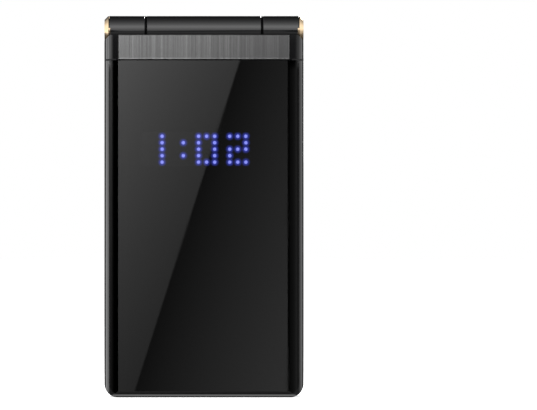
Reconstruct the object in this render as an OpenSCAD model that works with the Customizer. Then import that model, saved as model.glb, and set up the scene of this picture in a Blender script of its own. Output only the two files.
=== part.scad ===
// Clamshell phone, drawn closed and standing on its lower end.
// X runs across the phone, Z up to the hinge, and the lid faces -Y.
// The origin is the middle of the lower end.

/* [Body] */
// Height of the closed phone
body_h = 109.2; // [108:0.2:113]
// Width of both halves
body_w = 57; // [56.8:0.2:60]
// Thickness of the lid half
lid_t = 7.6; // [7.5:0.1:8.6]
// Thickness of the keypad half, without the island
base_t = 11; // [10.9:0.1:12.4]
// Gap between the closed halves
fold_gap = 0.5; // [0.45:0.05:0.8]
// Wall of both shells
wall = 1.2; // [1:0.05:1.35]
// Radius of the lower outline corners
corner_r = 4; // [3:0.25:5]
// Chamfer of the lid's upper outline corners
lid_corner_cut = 1.6; // [1.2:0.1:2]
// Chamfer of the keypad half's upper outline corners
base_corner_cut = 1.4; // [1:0.1:1.8]
// Chamfer along the edges that face the fold
fold_cut = 0.35; // [0.2:0.05:0.5]
// Line left between pieces that are set into each other
seam = 0.06; // [0.04:0.01:0.1]

/* [Lid] */
// Radius along the lid's long outer edges
lid_edge_r = 4; // [3.6:0.1:4.4]
// Radius along the lid's lower outer edge
lid_end_r = 1.8; // [1.2:0.1:2.2]
// Depth of the lid's outer shell, down to the parting line
lid_split_d = 5; // [4.8:0.1:5.2]
// Width of the outer glass
glass_w = 54.3; // [53:0.1:54.4]
// Thickness of the outer glass
glass_t = 1.3; // [1.1:0.1:1.4]
// Height of the outer glass's lower edge
glass_low = 1; // [0.8:0.1:1.6]
// Shell left behind the outer glass
glass_bed_t = 0.8; // [0.7:0.05:0.9]
// Width of the brushed strip
strip_w = 49; // [44:0.5:49]
// Height of the brushed strip
strip_h = 7; // [6:0.1:8]
// Thickness of the brushed strip
strip_t = 0.5; // [0.4:0.05:0.8]
// Polished chamfer round the brushed strip
strip_cut = 0.15; // [0.08:0.01:0.25]
// Open line between the brushed strip and the glass
glass_line = 0.28; // [0.16:0.02:0.3]
// Height of the clock's middle row
clock_z = 70.9; // [68:0.1:74]
// Spacing of the clock's rows
clock_row = 1.85; // [1.7:0.01:2]
// Spacing of the clock's columns in a digit
clock_col = 2.3; // [2:0.05:2.4]
// Radius of a clock lamp
lamp_r = 0.55; // [0.4:0.05:0.7]
// Height of a clock lamp
lamp_t = 0.6; // [0.4:0.05:0.7]
// Thickness of the clock board
clock_board_t = 0.8; // [0.6:0.1:0.9]
// Width of the display module
lcd_w = 42.7; // [40:0.1:43]
// Height of the display module
lcd_h = 59.5; // [57:0.1:60]
// Thickness of the display module
lcd_t = 2.6; // [2.4:0.1:2.7]
// Width of the picture
view_w = 36.7; // [34:0.1:38]
// Height of the picture
view_h = 49; // [46:0.1:50]
// Height of the picture's middle
view_z = 52.5; // [51:0.1:53.5]
// Width of the inner display glass
lens_w = 47; // [45:0.1:47.2]
// Height of the inner display glass
lens_h = 66; // [64:0.1:66.5]
// Thickness of the inner display glass
lens_t = 0.8; // [0.7:0.05:0.9]
// Plate left behind the inner display glass
lens_bed_t = 0.8; // [0.7:0.05:0.9]

/* [Hinge] */
// Radius of the barrel
barrel_r = 4.2; // [4.1:0.05:4.5]
// Length of the lid's middle knuckle, gap included
knuckle_w = 33.3; // [32:0.1:34]
// Gap between knuckles
knuckle_gap = 0.3; // [0.2:0.05:0.4]
// Rubbing clearance of the bosses between the knuckles
rub_gap = 0.08; // [0.05:0.01:0.12]
// Clearance round the knuckles where the other half turns
turn_gap = 0.35; // [0.3:0.05:0.45]
// Drop of the lid's upper end below the hinge axis
lid_drop = 1.45; // [1.2:0.05:1.6]
// Rise of the keypad half's upper end above the hinge axis
base_rise = 0.25; // [0.1:0.05:0.6]
// Thickness of an end cap outside the barrel
cap_t = 1.17; // [1.12:0.01:1.4]
// Chamfer round an end cap
cap_cut = 1.1; // [0.6:0.05:1.1]
// Width of the half collar on an end cap
cap_collar = 0.48; // [0.3:0.02:0.6]
// Height of the half collar above the hinge axis
collar_rise = 0.6; // [0.2:0.1:1]
// Radius of the cartridge head and of the cap spigots
head_r = 3.3; // [3.2:0.05:3.4]
// Length of the cartridge head
head_len = 5; // [4.5:0.1:5.6]
// Radius of the cartridge can
can_r = 2.7; // [2.6:0.05:2.75]
// Length of the cartridge can
can_len = 17.3; // [16.5:0.1:17.6]
// Wall of the cartridge can
can_wall = 0.5; // [0.4:0.05:0.5]
// Radius of the cartridge shaft
shaft_r = 1.1; // [1:0.05:1.15]
// Height of the cam lobes
lobe_h = 0.6; // [0.4:0.05:0.7]
// Wire radius of the cartridge spring
wire_r = 0.28; // [0.2:0.01:0.3]
// Turns of the cartridge spring
spring_turns = 7; // [6:1:8]
// Outer radius of the hollow hinge bush
bush_r = 2.6; // [2.4:0.05:2.7]
// Bore radius of the hollow hinge bush
bush_bore_r = 1.95; // [1.9:0.05:2]
// Reach of the hinge bush into the middle knuckle
bush_reach = 4; // [3:0.1:4.5]
// Radial clearance of parts that turn in each other
run_fit = 0.04; // [0.02:0.01:0.08]
// Width of the flex in the barrel
flex_w = 7.5; // [6:0.1:8]
// Thickness of the flex
flex_t = 0.2; // [0.15:0.05:0.25]

/* [Keypad half] */
// Depth of the front shell, down to the parting line
base_split_d = 4.8; // [4.7:0.1:5]
// Radius along the long rear edges
rear_edge_r = 3.2; // [3:0.1:3.4]
// Depth of the long rear edges' rounding
rear_edge_d = 2.7; // [2.5:0.1:2.8]
// Radius along the rear face's ends
rear_end_r = 2.8; // [2.6:0.1:3]
// Depth of the rounding at the rear face's ends
rear_end_d = 2.5; // [2.3:0.1:2.6]
// Thickness of the face plate round the keys
plate_t = 1.1; // [1:0.05:1.2]
// Thickness of the main board
board_t = 0.8; // [0.6:0.1:0.9]
// Thickness of the rear cover and of the rear panel
cover_t = 0.95; // [0.9:0.05:1.2]
// Width of the rear cover and of the rear panel
cover_w = 53.9; // [53:0.1:54]
// Margin of the rear cover and panel at the phone's ends
cover_margin = 1.55; // [1.5:0.05:2]
// Height of the line between cover and panel
cover_line = 76.4; // [76.2:0.1:77]
// Gap between cover and panel
cover_gap = 0.15; // [0.1:0.05:0.3]
// Gap under the sliding cover
slide_gap = 0.05; // [0.04:0.01:0.08]
// Travel of the cover until its hooks come free
cover_travel = 8; // [6:0.5:8]
// Length of a cover hook
hook_len = 5; // [4:0.5:5]

/* [Island] */
// Rise of the island above the rear panel
island_rise = 0.9; // [0.8:0.05:1.2]
// Width of the island's top
island_w = 44.6; // [44:0.1:45]
// Height of the island's top
island_h = 20.6; // [20.2:0.1:20.8]
// Height of the island's middle
island_z = 89.1; // [89:0.05:89.3]
// Corner radius of the island's top
island_r = 2.9; // [2.2:0.1:3.4]
// Width of the island's slopes
island_slope = 2; // [1.6:0.1:2.2]
// Radius of the fillet at the foot of the slopes
island_fillet = 1.8; // [1.2:0.1:2.4]
// Width of the V-groove round the island's top plate
groove_w = 1; // [0.6:0.05:1.1]
// Depth of the V-groove
groove_d = 0.25; // [0.15:0.05:0.3]
// Height of a speaker slot
slot_h = 2.1; // [1.6:0.1:2.4]
// Spacing of the speaker slots
slot_pitch = 4.38; // [4:0.01:4.4]
// Corner radius of a speaker slot
slot_r = 0.85; // [0.4:0.05:1]
// Length of a speaker row
slot_len = 25.6; // [22:0.2:25.8]
// Length of the outer slots in a split row
slot_part = 8.6; // [7:0.1:9]
// Bridge between the slots of a split row
slot_bridge = 0.75; // [0.6:0.05:1]
// Speaker row's end on the camera side
slot_x = -5.33; // [-5.6:0.01:-5]
// Width of the camera frame
cam_w = 10.5; // [10:0.1:10.8]
// Height of the camera frame
cam_h = 17.5; // [17:0.1:17.8]
// Width of the camera frame's rim
cam_rim = 0.5; // [0.4:0.05:0.8]
// Distance of the camera frame from the middle
cam_x = 14.93; // [14.6:0.01:15.2]
// Corner radius of the camera frame
cam_r = 1.7; // [1.4:0.05:2]
// Height of the camera lens above the island's middle
lens_up = 4.45; // [4:0.05:4.6]
// Radius of the camera lens barrel
lens_r = 2.1; // [1.8:0.05:2.3]
// Drop of the flash below the island's middle
flash_down = 4.6; // [4.4:0.05:5]
// Width of the flash
flash_w = 2.9; // [2.4:0.1:3.2]
// Height of the flash
flash_h = 2.15; // [1.8:0.05:2.4]

/* [Keys] */
// Width of a number key
key_w = 14.8; // [14:0.1:15]
// Height of a number key
key_h = 9; // [8.4:0.1:9.1]
// Spacing of the number keys across
key_pitch_x = 17.2; // [16.9:0.05:17.4]
// Spacing of the number keys up
key_pitch_z = 11.2; // [10.9:0.05:11.3]
// Height of the lowest row of keys
key_row_z = 12.6; // [12.4:0.1:13]
// Corner radius of the keys
key_r = 2.2; // [1.6:0.1:2.6]
// Radius of the crown on the keys
key_crown_r = 40; // [34:1:60]
// Rise of the keys above the face plate
key_rise = 0.15; // [0.1:0.01:0.2]
// Clearance round a key in its window
key_gap = 0.15; // [0.1:0.01:0.2]
// Lip that holds a key under the face plate
key_lip = 0.5; // [0.4:0.02:0.55]
// Thickness of the lip
key_lip_t = 0.4; // [0.3:0.02:0.45]
// Travel of a key
key_travel = 0.3; // [0.2:0.02:0.32]
// Width of the soft, call and end keys
side_key_w = 10.8; // [10:0.1:11]
// Distance of the side keys from the middle
side_key_x = 19.7; // [19.6:0.05:19.9]
// Distance of the side keys above and below the ring's middle
side_key_up = 6.9; // [6.6:0.1:7.6]
// Outer radius of the navigation ring
nav_r = 11.5; // [11:0.1:11.6]
// Height of the navigation ring's middle
nav_z = 74; // [73:0.1:75]
// Radius of the middle key
ok_r = 5; // [4.6:0.1:5.2]
// Clearance of the ring above and below for its tilt
tilt_gap = 0.4; // [0.38:0.01:0.45]

/* [Inside] */
// Width of the battery
battery_w = 40; // [38:0.5:40]
// Height of the battery
battery_h = 52; // [50:0.5:52]
// Thickness of the battery
battery_t = 4.2; // [4:0.05:4.3]
// Height of the battery's lower end
battery_z = 16.5; // [16.3:0.1:16.8]
// Clearance round the battery
battery_gap = 0.2; // [0.15:0.05:0.3]
// Floor of the battery bay
floor_t = 0.8; // [0.6:0.05:0.85]
// Height of the shield cans
shield_t = 1.1; // [0.8:0.05:1.15]
// Bore radius of the headphone jack
jack_bore_r = 1.8; // [1.76:0.01:1.85]
// Depth of the headphone jack
jack_len = 14; // [13.5:0.1:14]
// Screw thread radius
screw_r = 0.7; // [0.6:0.05:0.75]
// Screw head radius
screw_head_r = 1.25; // [1.1:0.05:1.3]
// Radius of a screw boss
boss_r = 1.7; // [1.6:0.05:1.8]

/* [Hidden] */
$fn = 64;

// Planes across the thickness
half_w = body_w/2;
lid_front = -(lid_t + fold_gap + base_t + island_rise)/2;
lid_split = lid_front + lid_split_d;
lid_back = lid_front + lid_t;
glass_back = lid_front + glass_t;
lid_floor = glass_back + glass_bed_t;
lens_back = lid_back - lens_t;
lens_bed = lens_back - lens_bed_t;
base_front = lid_back + fold_gap;
base_split = base_front + base_split_d;
base_back = base_front + base_t;
base_rim = base_back - cover_t - slide_gap;
island_top = base_back + island_rise;

// Hinge axis, in the middle of the fold
hinge_y = lid_back + fold_gap/2;
hinge_z = body_h - barrel_r;
lid_top = hinge_z - lid_drop;
base_top = hinge_z + base_rise;
relief_r = barrel_r + turn_gap;
lid_knuckle = knuckle_w/2 - knuckle_gap/2;
base_knuckle = knuckle_w/2 + knuckle_gap/2;
barrel_end = half_w - cap_t;
head_end = base_knuckle + knuckle_gap/2 + head_len;
bore_r = head_r + run_fit;
head_flat = 2*can_r + 0.2;
can_flat = 2*can_r - 0.6;
can_bore_r = can_r - can_wall;
can_start = lid_knuckle - can_len;
key_flat = 2*can_bore_r - 0.5;
lobe_tip = lid_knuckle - 2.5;
lobe_root = lobe_tip + lobe_h;
follower_face = lobe_tip - 0.1;
follower_len = 2.5;
chamber_r = 3.2;
chamber_end = can_start - 1.2;
roll_r = bush_bore_r - 0.25;
coil_r = chamber_r - 0.4;
flex_x = -lid_knuckle + bush_reach + 1.2;

// Insides of the shells
cavity_w = body_w - 2*wall;
cavity_low = 1.3;
cavity_top = hinge_z - relief_r - 1;
glass_top = lid_top - strip_h - glass_line;
view_low = view_z - view_h/2;

// Stack behind the face plate
plate_back = base_front + plate_t;
key_lip_y = plate_back + 0.05;
dome_t = 0.25;
film_t = 0.1;
nub_y = plate_back + tilt_gap + key_lip_t + 0.15;
dome_top = nub_y + key_travel + 0.05;
film_top = dome_top + dome_t;
board_front = film_top + film_t;
board_back = board_front + board_t;
board_w = cavity_w - 1.4;
board_low = cavity_low + 0.9;
board_top = cavity_top - 1.4;
battery_back = base_rim - 0.1;
battery_front = battery_back - battery_t;
bay_floor = battery_front - 0.05;
rear_roof_t = 1;
rear_roof = base_rim - rear_roof_t;
low_cavity_top = battery_z - 1;
high_cavity_low = 74;

// Screws: lid seats, base seats, as [x, z]
lid_screw_at = [for (s = [-1, 1], z = [6.5, 92]) [s*(half_w - 3.9), z]];
base_screw_at = [for (s = [-1, 1], p = [[22, 3.6], [24.3, 56], [21.7, 92]]) [s*p[0], p[1]]];
lid_seat = lid_split + 0.9;
base_seat = base_split + 1.6;
head_t = 0.6;

// Keys as [x, z]
function number_at(i) = [(i%3 - 1)*key_pitch_x, key_row_z + (3 - floor(i/3))*key_pitch_z];
side_key_at = [for (v = [1, -1], s = [-1, 1]) [s*side_key_x, nav_z + v*side_key_up]];
mat_low = key_row_z - key_h/2 - key_lip - 0.9;
mat_top = nav_z + side_key_up + key_h/2 + key_lip + 1.2;

// Cover hooks and battery bay
hook_at = [30, 70];
hook_x = 23.1;
hook_t = 1;
hook_foot = 1.2;
hook_y = base_rim - 1.5;
bay_w = battery_w + 2*battery_gap;
bay_low = battery_z - battery_gap;
bay_top = battery_z + battery_h + battery_gap;

// Speaker and camera
mesh_t = 0.3;
grille_t = 0.8;
mesh_back = island_top - grille_t;
mesh_x0 = slot_x - 1.3;
mesh_x1 = slot_x + slot_len + 1.1;
mesh_h = 3*slot_pitch + slot_h + 2;
slot_z = island_z - 0.05;
speaker_x0 = -5.5;
speaker_x1 = 18.6;
window_bed = base_back - 0.4;
window_t = 1;
lens_z = island_z + lens_up;
flash_z = island_z - flash_down;
jack_x = -15;
jack_body_h = 5.2;
jack_y = board_back + jack_body_h/2;
jack_body_w = 6.4;
nose_r = 2.55;
usb_w = 7.6;
usb_h = 2.65;

// Wrist strap eyelet: slot, and the notch round it in the rear panel
strap_x = -25.6;
strap_z = 96.4;
strap_w = 1.2;
strap_h = 2.3;
notch_x = -24.2;
notch_h = 2.9;
notch_d = 0.35;

// Clock: middle, columns of one digit and two more, colon, window
clock_mid = -2.3;
lamp_cols = [for (d = [-16.57, -1.55, 7.35], i = [0:2]) d + i*clock_col];
colon_x = -5.9;
clock_window_w = 31.4;
clock_window_h = 4*clock_row + 2*lamp_r + 1.4;

// Small places inside the lid
earpiece_z = 10;
bumper_r = 1.55;
bumper_rise = fold_gap - 0.15;

// Small places in the keypad half
mic_x = 8;
mic_z = 4.4;
contact_x = 9;
contact_w = 8.6;
contact_back = board_back + 4.4;
// Card holders as [x, z, width, height]
card_at = [[-9.6, 28, 17, 15], [9.6, 28, 17, 15], [-9.6, 48, 15, 14]];
nav_dome = 8.6;
ring_lip_y = plate_back + tilt_gap;
ok_lip_y = ring_lip_y - 0.1;

// Chamfers round the rear plates, and the cover's corners
plate_cut = 0.3;
cover_r = 2.4;
panel_r = 1.5;
panel_low = cover_line + cover_gap/2;

// Wound spring of the cartridge
wind_r = shaft_r + run_fit + wire_r + 0.06;
spring_x0 = can_start + 0.8 + wire_r;
spring_x1 = follower_face - follower_len - wire_r;
wind_steps = 10;
wire_sides = 5;

black = [0.06, 0.06, 0.07];
grey = [0.22, 0.22, 0.23];
gold = [0.86, 0.72, 0.45];
steel = [0.62, 0.63, 0.65];
green = [0.1, 0.35, 0.2];

// ---- Drawing helpers ----

// Extrudes a (y, z) profile across the phone
module along_x(x0, x1) translate([x0, 0, 0]) rotate([90, 0, 90]) linear_extrude(x1 - x0) children();

// Extrudes an (x, z) outline through the thickness
module along_y(y0, y1) translate([0, y1, 0]) rotate([90, 0, 0]) linear_extrude(y1 - y0) children();

module block(x0, x1, y0, y1, z0, z1) translate([x0, y0, z0]) cube([x1 - x0, y1 - y0, z1 - z0]);

module slab(y0, y1) block(-body_w, body_w, y0, y1, -body_h, 2*body_h);

// Round solid on the hinge axis
module on_axis(x0, x1, r) along_x(x0, x1) translate([hinge_y, hinge_z]) circle(r);

// Round solid with two flats on the hinge axis
module flat_axis(x0, x1, r, flat) along_x(x0, x1) translate([hinge_y, hinge_z]) intersection() {
    circle(r);
    square([2*r + 1, flat], center = true);
}

// Knuckle with a small chamfer at both ends
module knuckle(x0, x1, cut = 0.25) translate([x0, hinge_y, hinge_z]) rotate([0, 90, 0])
    rotate_extrude() polygon([[0, 0], [barrel_r - cut, 0], [barrel_r, cut],
        [barrel_r, x1 - x0 - cut], [barrel_r - cut, x1 - x0], [0, x1 - x0]]);

module round_rect(w, h, r) {
    polygon([[-w/2 + r, -h/2], [w/2 - r, -h/2], [w/2, -h/2 + r], [w/2, h/2 - r],
        [w/2 - r, h/2], [-w/2 + r, h/2], [-w/2, h/2 - r], [-w/2, -h/2 + r]]);
    for (x = [-1, 1], y = [-1, 1]) translate([x*(w/2 - r), y*(h/2 - r)]) circle(r);
}

// Upright panel with its own lower and upper corner radius
module panel(w, z0, z1, r0, r1) {
    polygon([[-w/2 + r0, z0], [w/2 - r0, z0], [w/2, z0 + r0], [w/2, z1 - r1],
        [w/2 - r1, z1], [-w/2 + r1, z1], [-w/2, z1 - r1], [-w/2, z0 + r0]]);
    for (s = [-1, 1]) {
        translate([s*(w/2 - r0), z0 + r0]) circle(r0);
        translate([s*(w/2 - r1), z1 - r1]) circle(r1);
    }
}

// Outline of a half: round lower corners, chamfered upper ones
module half_outline(z1, cut) {
    polygon([[-half_w + corner_r, 0], [half_w - corner_r, 0], [half_w, corner_r], [half_w, z1 - cut],
        [half_w - cut, z1], [-half_w + cut, z1], [-half_w, z1 - cut], [-half_w, corner_r]]);
    for (s = [-1, 1]) translate([s*(half_w - corner_r), corner_r]) circle(corner_r);
}

module hole_y(at, r, y0, y1) along_y(y0, y1) translate(at) circle(r);

// Rounded block that grows by flare on each side from y0 to y1
module flared_block(w, h, r, flare, y0, y1) {
    along_x(-w/2 + r, w/2 - r) polygon([[y0, -h/2], [y1, -h/2 - flare], [y1, h/2 + flare], [y0, h/2]]);
    translate([0, 0, -h/2 + r]) linear_extrude(h - 2*r)
        polygon([[-w/2, y0], [w/2, y0], [w/2 + flare, y1], [-w/2 - flare, y1]]);
    for (x = [-1, 1], z = [-1, 1]) translate([x*(w/2 - r), y0, z*(h/2 - r)]) rotate([-90, 0, 0])
        cylinder(h = y1 - y0, r1 = r, r2 = r + flare);
}

// ---- Lid ----

module lid_plan() intersection() {
    union() {
        translate([-half_w, lid_front + lid_edge_r]) square([body_w, lid_t - lid_edge_r]);
        translate([-half_w + lid_edge_r, lid_front]) square([body_w - 2*lid_edge_r, lid_t]);
        for (s = [-1, 1])
            translate([s*(half_w - lid_edge_r), lid_front + lid_edge_r]) circle(lid_edge_r);
    }
    polygon([[-half_w, lid_front], [half_w, lid_front], [half_w, lid_back - fold_cut],
        [half_w - fold_cut, lid_back], [-half_w + fold_cut, lid_back], [-half_w, lid_back - fold_cut]]);
}

module lid_side() {
    translate([lid_front, lid_end_r]) square([lid_t, lid_top - lid_end_r]);
    translate([lid_front + lid_end_r, 0]) square([lid_t - lid_end_r, lid_end_r]);
    translate([lid_front + lid_end_r, lid_end_r]) circle(lid_end_r);
}

// Whole outer form of the lid, without its knuckle
module lid_form() intersection() {
    linear_extrude(lid_top) lid_plan();
    along_y(lid_front, lid_back) half_outline(lid_top, lid_corner_cut);
    along_x(-half_w, half_w) lid_side();
}

// Space inside the lid, drawn in where the outer edges curve
module lid_cavity() intersection() {
    linear_extrude(body_h) polygon([[-cavity_w/2 + wall, lid_floor], [cavity_w/2 - wall, lid_floor],
        [cavity_w/2, lid_floor + wall], [cavity_w/2, lens_bed], [-cavity_w/2, lens_bed],
        [-cavity_w/2, lid_floor + wall]]);
    along_y(lid_front, lid_back) panel(cavity_w, cavity_low + 0.3, cavity_top, corner_r - wall, 0.5);
}

// Room for the keypad half's knuckles and for the end caps
module lid_relief() for (s = [0, 1]) mirror([s, 0, 0]) on_axis(lid_knuckle, half_w + 1, relief_r);

module glass_outline(grow) panel(glass_w + 2*grow, glass_low - grow, glass_top + grow,
    corner_r - glass_low + grow, 1.3 + grow);

module lid_outer_shell() color(black) difference() {
    union() {
        difference() {
            intersection() {
                lid_form();
                slab(lid_front - 1, lid_split);
            }
            lid_cavity();
        }
        for (p = lid_screw_at) hole_y(p, boss_r + 0.2, lid_floor - 0.2, lid_split);
    }
    lid_relief();
    on_axis(-lid_knuckle, lid_knuckle, barrel_r + seam);
    along_y(lid_front - 1, glass_back) glass_outline(seam);
    block(-strip_w/2 - seam, strip_w/2 + seam, lid_front - 1, lid_front + strip_t,
        glass_top, lid_top + 1);
    along_y(lid_front, lid_split) translate([clock_mid, clock_z])
        round_rect(clock_window_w, clock_window_h, 1);
    for (p = lid_screw_at) hole_y(p, screw_r + 0.02, lid_floor + 0.6, lid_split + 1);
}

module lid_inner_shell() color(black) difference() {
    union() {
        difference() {
            intersection() {
                lid_form();
                slab(lid_split, lid_back);
            }
            lid_cavity();
            lid_relief();
        }
        for (p = lid_screw_at) hole_y(p, boss_r + 0.5, lid_split, lens_bed + 0.2);
        knuckle(-lid_knuckle, lid_knuckle);
    }
    // Recess and window of the display
    along_y(lens_back, lid_back + 1) translate([0, view_z]) round_rect(lens_w + 2*seam, lens_h + 2*seam, 2);
    along_y(lens_bed - 1, lens_back + 1) translate([0, view_z])
        square([view_w + 0.6, view_h + 0.6], center = true);
    // Earpiece slots
    for (i = [-2:2]) along_y(lens_bed - 1, lid_back + 1) translate([i*2.6, earpiece_z])
        round_rect(1.9, 1.1, 0.5);
    // Screws under the bumpers
    for (p = lid_screw_at) {
        hole_y(p, screw_r + 0.15, lid_split - 1, lid_back);
        hole_y(p, bumper_r, lid_seat, lid_back + 1);
    }
    // Cartridge seat, bush bore and flex chamber
    flat_axis(can_start, lid_knuckle + 1, can_r + 0.02, can_flat + 0.04);
    on_axis(-lid_knuckle - 1, -lid_knuckle + bush_reach + 0.2, bush_r + run_fit);
    on_axis(-lid_knuckle + bush_reach, chamber_end, chamber_r);
    block(flex_x - 0.4, flex_x + flex_w + 0.4, hinge_y - 2.6, hinge_y - 1.8, cavity_top - 1, hinge_z - 1);
}

module outer_glass() color([0.03, 0.03, 0.035]) intersection() {
    lid_form();
    along_y(lid_front - 1, glass_back) glass_outline(0);
}

module brushed_strip() color(steel) difference() {
    block(-strip_w/2, strip_w/2, lid_front, lid_front + strip_t, lid_top - strip_h, lid_top);
    // Polished chamfers round its face
    for (z = [lid_top - strip_h, lid_top]) along_x(-half_w, half_w) corner_cut([lid_front, z]);
    for (x = [-1, 1]) linear_extrude(body_h) corner_cut([x*strip_w/2, lid_front]);
}

// Square on its tip that takes the chamfer off a corner
module corner_cut(at) translate(at) rotate(45) square(strip_cut*sqrt(2), center = true);

module clock_lamps() color([0.45, 0.45, 0.95]) along_y(lid_floor - lamp_t, lid_floor) {
    for (x = lamp_cols, r = [-2:2]) translate([x, clock_z + r*clock_row]) circle(lamp_r, $fn = 24);
    for (r = [-1, 1]) translate([colon_x, clock_z + r*clock_row]) circle(lamp_r, $fn = 24);
}

module clock_board() color(green)
    along_y(lid_floor, lid_floor + clock_board_t) translate([clock_mid, clock_z])
        round_rect(clock_window_w + 4, clock_window_h + 3.5, 0.8);

module display_module() color(steel) difference() {
    along_y(lens_bed - lcd_t, lens_bed) translate([0, view_z]) round_rect(lcd_w, lcd_h, 0.6);
    along_y(lens_bed - 0.3, lens_bed + 1) translate([0, view_z])
        square([view_w + 0.2, view_h + 0.2], center = true);
}

module display_glass() color([0.04, 0.04, 0.05])
    along_y(lens_back, lid_back - 0.05) translate([0, view_z]) round_rect(lens_w, lens_h, 1.95);

module earpiece() color(steel) {
    along_y(lens_bed - 2.2, lens_bed) translate([0, earpiece_z]) round_rect(15, 6, 2.9);
}

module lid_magnet() color(grey) hole_y([15, earpiece_z], 2.5, lens_bed - 1.2, lens_bed);

// Pan-head screw, its head towards +Y
module screw(at, seat, tip) {
    hole_y(at, screw_r, tip, seat);
    difference() {
        hole_y(at, screw_head_r, seat, seat + head_t);
        along_y(seat + head_t/2, seat + head_t + 1) translate(at) {
            square([1.5, 0.3], center = true);
            square([0.3, 1.5], center = true);
        }
    }
}

module lid_screws() color(steel) for (p = lid_screw_at) screw(p, lid_seat, lid_floor + 1);

module lid_bumpers() color(grey) for (p = lid_screw_at)
    hole_y(p, bumper_r - 0.03, lid_seat + head_t, lid_back + bumper_rise);

// ---- Hinge ----

// Ridge across the cam face, as a plan outline that runs along Z
module ridge(grow) translate([0, 0, hinge_z - barrel_r]) linear_extrude(2*barrel_r)
    polygon([[lobe_root + 1, hinge_y - 1.0 - grow], [lobe_root, hinge_y - 1.0 - grow],
        [lobe_tip - grow, hinge_y - 0.3 - grow], [lobe_tip - grow, hinge_y + 0.3 + grow],
        [lobe_root, hinge_y + 1.0 + grow], [lobe_root + 1, hinge_y + 1.0 + grow]]);

module hinge_can() color(steel) difference() {
    flat_axis(can_start, lid_knuckle, can_r, can_flat);
    flat_axis(can_start + 0.8, lobe_tip - 0.05, can_bore_r, key_flat);
    on_axis(lobe_tip - 0.05, lid_knuckle + 1, can_bore_r);
    on_axis(can_start - 1, can_start + 1, shaft_r + run_fit);
}

module hinge_follower() color(grey) difference() {
    flat_axis(follower_face - follower_len, follower_face, can_bore_r - run_fit, key_flat - 2*run_fit);
    on_axis(follower_face - follower_len - 1, follower_face + 1, shaft_r + run_fit);
    translate([-0.1, 0, 0]) ridge(0.02);
}

// Compression spring: one unbroken wire wound round the shaft
function wind(i) = let (a = 360*i/wind_steps, n = wind_steps*spring_turns)
    [spring_x0 + (spring_x1 - spring_x0)*i/n, a];
function wire_ring(i) = let (p = wind(i)) [for (k = [0:wire_sides - 1])
    let (b = 360*k/wire_sides, r = wind_r + wire_r*cos(b))
    [p[0] + wire_r*sin(b), hinge_y + r*cos(p[1]), hinge_z + r*sin(p[1])]];
module hinge_spring() color(steel) {
    rings = wind_steps*spring_turns;
    points = [for (i = [0:rings]) each wire_ring(i)];
    sides = [for (i = [0:rings - 1], k = [0:wire_sides - 1])
        let (a = i*wire_sides + k, b = i*wire_sides + (k + 1)%wire_sides)
        each [[a, b, b + wire_sides], [a, b + wire_sides, a + wire_sides]]];
    ends = [[for (k = [wire_sides - 1:-1:0]) k], [for (k = [0:wire_sides - 1]) rings*wire_sides + k]];
    polyhedron(points, concat(sides, ends));
}

module hinge_cam() color(steel) {
    flat_axis(base_knuckle + knuckle_gap/2, head_end, head_r, head_flat);
    on_axis(can_start + 0.1, base_knuckle + knuckle_gap, shaft_r);
    on_axis(lobe_root, base_knuckle + knuckle_gap, can_bore_r - run_fit);
    intersection() {
        on_axis(lobe_tip, lobe_root + 0.1, can_bore_r - run_fit);
        ridge(0);
    }
}

module hinge_bush() color(steel) difference() {
    union() {
        on_axis(-head_end, -lid_knuckle + bush_reach, bush_r);
        on_axis(-head_end - 0.6, -head_end, bush_r + 0.5);
    }
    on_axis(-half_w, 0, bush_bore_r);
}

// Flex from the display, coiled once round the axis
module lid_flex() color([0.75, 0.45, 0.15]) {
    along_x(flex_x, flex_x + flex_w) difference() {
        translate([hinge_y, hinge_z]) circle(coil_r);
        translate([hinge_y, hinge_z]) circle(coil_r - flex_t);
        translate([hinge_y - coil_r - 1, hinge_z - 1]) square([coil_r + 1, 2.4]);
    }
    block(flex_x, flex_x + flex_w, hinge_y - 2.3, hinge_y - 2.3 + flex_t, view_z + lcd_h/2, hinge_z - 1.45);
}

// Flex rolled through the bush, then down to the main board
module flex_tail() color([0.75, 0.45, 0.15]) {
    tail_x = -head_end - 2.6;
    difference() {
        on_axis(tail_x, flex_x + flex_w - 1, roll_r);
        on_axis(tail_x - 1, flex_x + flex_w, roll_r - flex_t);
    }
    block(tail_x, tail_x + 1.8, hinge_y + roll_r - flex_t/2, board_front,
        hinge_z - flex_t/2, hinge_z + flex_t/2);
    block(tail_x, tail_x + 1.8, board_front - flex_t, board_front, board_top - 2.5, hinge_z + flex_t/2);
}

module end_caps() color(gold) for (s = [0, 1]) mirror([s, 0, 0]) {
    translate([0, hinge_y, hinge_z]) rotate([0, 90, 0]) rotate_extrude() polygon([[0, barrel_end - 2],
        [head_r, barrel_end - 2], [head_r, barrel_end], [barrel_r, barrel_end],
        [barrel_r, half_w - cap_cut], [barrel_r - cap_cut, half_w], [0, half_w]]);
    difference() {
        on_axis(barrel_end - cap_collar, barrel_end, barrel_r);
        on_axis(barrel_end - 1, barrel_end + 1, bore_r);
        block(0, half_w + 1, hinge_y - barrel_r - 1, hinge_y + barrel_r + 1, hinge_z + collar_rise, body_h + 1);
    }
}

// ---- Keypad half ----

module base_plan() intersection() {
    union() {
        translate([-half_w, base_front]) square([body_w, base_rim - rear_edge_d - base_front]);
        translate([-half_w + rear_edge_r, base_front]) square([body_w - 2*rear_edge_r, base_rim - base_front]);
        for (s = [-1, 1])
            translate([s*(half_w - rear_edge_r), base_rim - rear_edge_d]) circle(rear_edge_r);
    }
    polygon([[-half_w + fold_cut, base_front], [half_w - fold_cut, base_front],
        [half_w, base_front + fold_cut], [half_w, base_rim], [-half_w, base_rim],
        [-half_w, base_front + fold_cut]]);
}

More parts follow.
